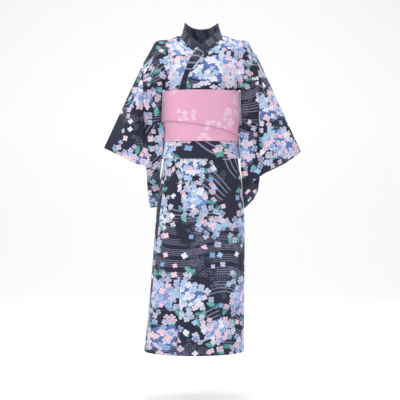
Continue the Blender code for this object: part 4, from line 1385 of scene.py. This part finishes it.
def cloth_material(name):
    """New material with its graph, its shader and the cloth's own map."""
    material = bpy.data.materials.new(name)
    material.use_nodes = True
    g = Graph(material.node_tree)
    cloth = g.node("ShaderNodeUVMap", uv_map=CLOTH_MAP).outputs[0]
    return material, g, material.node_tree.nodes["Principled BSDF"], cloth


def woven(g, shader, height, strength, sheen, sheen_roughness):
    """Adds the weave's relief and the cloth's sheen to a shader."""
    bump = g.node("ShaderNodeBump")
    g.feed(bump.inputs["Strength"], strength)
    g.feed(bump.inputs["Distance"], WEAVE_DEPTH)
    g.feed(bump.inputs["Height"], height)
    g.feed(shader.inputs["Normal"], bump.outputs[0])
    shader.inputs["Sheen Weight"].default_value = sheen
    shader.inputs["Sheen Roughness"].default_value = sheen_roughness


def print_material(name, tree, heads, reverse):
    """Printed cotton; the reverse side shows the print duller, as the dye soaks through."""
    material, g, shader, cloth = cloth_material(name)
    made = g.group(tree, Vector=cloth, Heads=heads)
    colour = made["Color"]
    if reverse:
        colour = g.mix(0.45, colour, INK["ground"])
    g.feed(shader.inputs["Base Color"], colour)
    g.feed(shader.inputs["Roughness"], g.math("MULTIPLY_ADD", made["Ink"], -0.10, 0.88))
    woven(g, shader, g.math("MULTIPLY_ADD", made["Ink"], 0.6, made["Weave"]), 0.35, 0.05, 0.5)
    return material


def sash_material(name, reverse):
    """Pink satin-weave sash with a large, faint, woven blossom."""
    material, g, shader, cloth = cloth_material(name)
    blossoms = bpy.data.node_groups.get("Florets")
    spacing, size = SPRAY_FLORET
    blossom = g.group(blossoms, Vector=cloth, Spacing=spacing, Size=size, Seed=SPRAY_SEED)
    spray = g.group(bpy.data.node_groups["Flower Heads"], Vector=blossom["Centre"],
                    Spacing=SPRAY_SPACING, Radius=SPRAY_RADIUS)
    petals = g.math("MULTIPLY", blossom["Mask"],
                    g.math("SUBTRACT", 1.0, g.math("MULTIPLY", blossom["Vein"], 0.8)))
    motif = g.math("MULTIPLY", petals, g.math("GREATER_THAN", spray["Inside"], 0.0))
    base = g.mix(g.noise(cloth, 7.0), INK["sash_dark"], INK["sash"])
    colour = g.mix(g.math("MULTIPLY", motif, 0.85), base, INK["sash_motif"])
    if reverse:
        colour = g.mix(0.4, colour, INK["sash_dark"])
    g.feed(shader.inputs["Base Color"], colour)
    g.feed(shader.inputs["Roughness"], g.math("MULTIPLY_ADD", motif, -0.14, 0.62))
    x, y, _ = g.split(g.scaled(cloth, 2 * math.pi / SASH_THREAD))
    twill = g.math("SINE", g.math("ADD", x, g.math("MULTIPLY", y, 2.0)))
    ribs = g.math("SINE", g.math("MULTIPLY", y, 0.12))
    height = g.math("ADD", g.math("MULTIPLY", twill, 0.5), g.math("MULTIPLY_ADD", ribs, 0.5, motif))
    woven(g, shader, height, 0.4, 0.25, 0.4)
    return material


def materials_for(kind):
    """Front and reverse materials of a kind of cloth, made once."""
    names = (f"{kind} face", f"{kind} reverse")
    if names[0] not in bpy.data.materials:
        if kind == "sash":
            made = [sash_material(name, side == 1) for side, name in enumerate(names)]
        else:
            tree = bpy.data.node_groups.get("Robe Print") or print_group()
            heads = COLLAR_HEADS if kind == "collar print" else 1.0
            made = [print_material(name, tree, heads, side == 1) for side, name in enumerate(names)]
        return made
    return [bpy.data.materials[name] for name in names]


def dress(piece, node, kind):
    for material in materials_for(kind):
        piece.data.materials.append(material)
    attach(piece, "root")
    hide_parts(node)
    return piece


class RobeSettings(PropertyGroup):
    """Driving sizes of the finished cloth."""

    cloth: FloatProperty(
        name="Cloth", description="Thickness of the printed cotton", default=CLOTH, unit="LENGTH")
    crease: FloatProperty(
        name="Crease", description="Strength of the listed creases", default=1.0, min=0.0, max=2.0)
    light: FloatProperty(
        name="Light", description="Strength of the studio lights", default=1.0, min=0.1, max=4.0)
    floor: FloatVectorProperty(
        name="Floor", description="Colour of the floor and backdrop", subtype="COLOR", size=3,
        default=(0.93, 0.93, 0.93))
    print_shift: FloatProperty(
        name="Print shift", description="Moves the print over the cloth", default=0.0, unit="LENGTH")


class ROBE_OT_panels(Operator):
    """Add the two upper body panels, each one cloth from front to back over the shoulder."""

    bl_idname = "robe.add_panels"
    bl_label = "Upper Panels"

    def execute(self, context):
        settings = context.scene.robe
        for side, node in ((1, "body_left"), (-1, "body_right")):
            points, down, across = body_net(side)
            shift = PRINT_PLACES[node] + settings.print_shift
            piece = shell(f"{node}_cloth", points, flat_map(down, across, shift), settings.cloth,
                          (side * 0.05, 0.0, -0.20), body_lift(points, down, across) * settings.crease)
            dress(piece, node, "print")
        return {"FINISHED"}


class ROBE_OT_overlap(Operator):
    """Add the upper end of the overlap panel, below the sash."""

    bl_idname = "robe.add_overlap"
    bl_label = "Overlap Panel"

    def execute(self, context):
        settings = context.scene.robe
        points, down, across = okumi_net()
        shift = PRINT_PLACES["okumi_left"] + settings.print_shift
        below = np.clip((-points[..., 2] - 0.385) / 0.010, 0, 1)
        piece = shell("okumi_left_cloth", points, flat_map(down, across, shift), settings.cloth,
                      (0.0, 0.0, -0.40), skirt_creases(points) * below * settings.crease)
        dress(piece, "okumi_left", "print")
        return {"FINISHED"}


class ROBE_OT_collar(Operator):
    """Add the doubled collar strip, from one front round the neck to the other."""

    bl_idname = "robe.add_collar"
    bl_label = "Collar"

    def execute(self, context):
        settings = context.scene.robe
        points, down, across = collar_net()
        shift = PRINT_PLACES["collar"] + settings.print_shift
        front = points[..., 1] < 0
        chest = chest_creases(points) * front * np.clip((-points[..., 2] - 0.02) / 0.05, 0, 1)
        low = np.clip((points[..., 2] - WAIST_Z) / 0.02, 0, 1)
        roll = 0.0005 * np.sin(math.pi * np.clip(across / across[-1], 0, 1))[None, :]
        piece = shell("collar_cloth", points, flat_map(down, across, shift), COLLAR_CLOTH,
                      (0.0, 0.0, -0.15), (chest * low + roll) * settings.crease)
        dress(piece, "collar", "collar print")
        return {"FINISHED"}


class ROBE_OT_sleeves(Operator):
    """Add both sleeves, each one folded length that is open at the cuff."""

    bl_idname = "robe.add_sleeves"
    bl_label = "Sleeves"

    def execute(self, context):
        settings = context.scene.robe
        for side, node in ((1, "sleeve_left"), (-1, "sleeve_right")):
            points, width, reach = sleeve_net(side)
            shift = PRINT_PLACES[node] + settings.print_shift
            lift = sleeve_lift(width, reach) * settings.crease
            fold = int(np.argmin(np.abs(reach)))
            piece = shell(f"{node}_cloth", points, hung_map(points, reach, -1) + shift, settings.cloth,
                          (side * 0.235, 0.02, -0.36), lift, wrap=True,
                          other=(hung_map(points, reach, 1) + shift, fold))
            dress(piece, node, "print")
        return {"FINISHED"}


class ROBE_OT_skirt(Operator):
    """Add the six skirt panels, the wearer's left front over the right one."""

    bl_idname = "robe.add_skirt"
    bl_label = "Skirt Panels"

    def execute(self, context):
        settings = context.scene.robe
        gap = seam_angle(HEM_Z)
        panels = {
            "skirt_front_left": (lambda z: gap, lambda z: okumi_seam(z) - gap, over_out),
            "skirt_okumi_left": (lambda z: okumi_seam(z) + gap, over_edge, over_out),
            "skirt_front_right": (lambda z: 180 - gap, lambda z: 180 - okumi_seam(z) + gap, under_out),
            "skirt_okumi_right": (lambda z: 180 - okumi_seam(z) - gap, lambda z: 180 - over_edge(z),
                                  under_out),
            "skirt_back_left": (lambda z: 270 + gap, lambda z: 360 - gap, under_out),
            "skirt_back_right": (lambda z: 180 + gap, lambda z: 270 - gap, under_out),
        }
        for node, (start, stop, out) in panels.items():
            points, down, across = skirt_net(start, stop, out)
            shift = PRINT_PLACES[node] + settings.print_shift
            below = np.clip((-points[..., 2] - 0.395) / 0.030, 0, 1)
            piece = shell(f"{node}_cloth", points, flat_map(down, across, shift), settings.cloth,
                          (0.0, 0.0, -0.75), skirt_creases(points) * below * settings.crease)
            dress(piece, node, "print")
        return {"FINISHED"}


class ROBE_OT_sash(Operator):
    """Add the two turns of the sash and its flat knot behind."""

    bl_idname = "robe.add_sash"
    bl_label = "Sash"

    def execute(self, context):
        settings = context.scene.robe
        for node, levels, out in (("obi_lower_turn", lower_levels, SASH_LOWER),
                                  ("obi_upper_turn", upper_levels, SASH_UPPER)):
            points, down, across = sash_net(levels, out)
            edge = np.clip((down - down[-1] + SASH_CURL_WIDTH) / SASH_CURL_WIDTH, 0, 1)[:, None]
            curl = SASH_CURL * edge * edge if node == "obi_upper_turn" else 0.0
            lift = ring_creases(points, SASH_CREASES) * settings.crease + curl
            piece = shell(f"{node}_cloth", points, flat_map(down, across, PRINT_PLACES[node]),
                          SASH_CLOTH, (0.0, 0.0, -0.30), lift, wrap=True)
            dress(piece, node, "sash")
        bands = {
            "obi_end_left": ((284, -0.320), (318, -0.262), 0.080, SASH_END),
            "obi_end_right": ((256, -0.300), (226, -0.352), 0.080, SASH_END),
            "obi_knot": ((257, -0.245), (283, -0.350), 0.100, SASH_KNOT),
        }
        for node, band in bands.items():
            points, down, across = band_net(*band)
            lift = ring_creases(points, SASH_CREASES) * settings.crease
            piece = shell(f"{node}_cloth", points, flat_map(down, across, PRINT_PLACES[node]),
                          SASH_CLOTH, (0.0, 0.0, -0.30), lift)
            dress(piece, node, "sash")
        return {"FINISHED"}


class ROBE_OT_studio(Operator):
    """Add the floor that curves up into a backdrop, the lights and the camera."""

    bl_idname = "robe.add_studio"
    bl_label = "Studio"

    def execute(self, context):
        settings = context.scene.robe
        floor = studio_floor(settings.floor)
        for name, place, size, power in LIGHTS:
            lamp = bpy.data.lights.new(name, "AREA")
            lamp.size = size
            lamp.energy = power * settings.light
            holder = bpy.data.objects.new(name, lamp)
            bpy.context.scene.collection.objects.link(holder)
            holder.location = place
            aim = np.array(LIGHT_AIM) - np.array(place)
            holder.rotation_euler = turned_to(aim)
        world = bpy.data.worlds.new("Studio")
        world.use_nodes = True
        background = world.node_tree.nodes["Background"]
        background.inputs["Color"].default_value = (1.0, 1.0, 1.0, 1.0)
        background.inputs["Strength"].default_value = WORLD_LIGHT * settings.light
        context.scene.world = world
        lens = bpy.data.cameras.new("Photo view")
        lens.sensor_width = SENSOR * 1000
        lens.lens = SENSOR * 1000 * CAMERA_AWAY / (METRES_A_PIXEL * FRAME_PIXELS)
        camera = bpy.data.objects.new("Photo view", lens)
        context.scene.collection.objects.link(camera)
        middle = FRAME_PIXELS / 2
        middle_z = (ORIGIN_PIXEL - middle) * METRES_A_PIXEL
        lens.shift_y = (middle_z - CAMERA_Z) / (METRES_A_PIXEL * FRAME_PIXELS)
        camera.location = ((middle - AXIS_PIXEL) * METRES_A_PIXEL, -CAMERA_AWAY, CAMERA_Z)
        camera.rotation_euler = (math.pi / 2, 0.0, 0.0)
        context.scene.camera = camera
        context.scene.view_settings.view_transform = "Standard"
        return {"FINISHED"}


def turned_to(aim):
    """Turn that points an object's -Z axis along a direction."""
    flat = math.hypot(aim[0], aim[1])
    return (math.atan2(flat, -aim[2]), 0.0, math.atan2(-aim[0], aim[1]))


def studio_floor(colour):
    """Floor and backdrop in one sheet.

    The profile runs forward on the floor, turns up through a quarter circle and goes on upright.
    """
    turn = np.linspace(0, math.pi / 2, 25)
    y = np.concatenate([[-6.0], BACKDROP_Y + BACKDROP_BEND * np.sin(turn), [BACKDROP_Y + BACKDROP_BEND]])
    z = np.concatenate([[0.0], BACKDROP_BEND * (1 - np.cos(turn)), [7.0]]) + FLOOR_Z
    points = [(x, b, c) for b, c in zip(y, z) for x in (-8.0, 8.0)]
    faces = [(2 * k, 2 * k + 1, 2 * k + 3, 2 * k + 2) for k in range(len(y) - 1)]
    mesh = bpy.data.meshes.new("Floor")
    mesh.from_pydata(points, [], faces)
    mesh.shade_smooth()
    floor = bpy.data.objects.new("Floor", mesh)
    bpy.context.scene.collection.objects.link(floor)
    material = bpy.data.materials.new("Pale studio paper")
    material.use_nodes = True
    shader = material.node_tree.nodes["Principled BSDF"]
    shader.inputs["Base Color"].default_value = (*colour, 1.0)
    shader.inputs["Roughness"].default_value = 0.9
    shader.inputs["Emission Color"].default_value = (1.0, 1.0, 1.0, 1.0)
    shader.inputs["Emission Strength"].default_value = PAPER_GLOW
    mesh.materials.append(material)
    return floor


class ROBE_PT_sidebar(Panel):
    """Sidebar panel with the settings and one button for each piece."""

    bl_label = "Cotton Robe"
    bl_space_type = "VIEW_3D"
    bl_region_type = "UI"
    bl_category = "Robe"

    def draw(self, context):
        for name in ("cloth", "crease", "light", "floor", "print_shift"):
            self.layout.prop(context.scene.robe, name)
        for operator in OPERATORS:
            self.layout.operator(operator.bl_idname)


OPERATORS = (ROBE_OT_panels, ROBE_OT_overlap, ROBE_OT_collar, ROBE_OT_sleeves, ROBE_OT_skirt,
             ROBE_OT_sash, ROBE_OT_studio)


def register():
    for item in (RobeSettings, *OPERATORS, ROBE_PT_sidebar):
        bpy.utils.register_class(item)
    bpy.types.Scene.robe = PointerProperty(type=RobeSettings)


def unregister():
    del bpy.types.Scene.robe
    for item in reversed((RobeSettings, *OPERATORS, ROBE_PT_sidebar)):
        bpy.utils.unregister_class(item)


def main():
    """Dresses the loaded frame."""
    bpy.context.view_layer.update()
    register()
    for operator in OPERATORS:
        family, _, name = operator.bl_idname.partition(".")
        getattr(getattr(bpy.ops, family), name)()


if __name__ == "__main__":
    main()
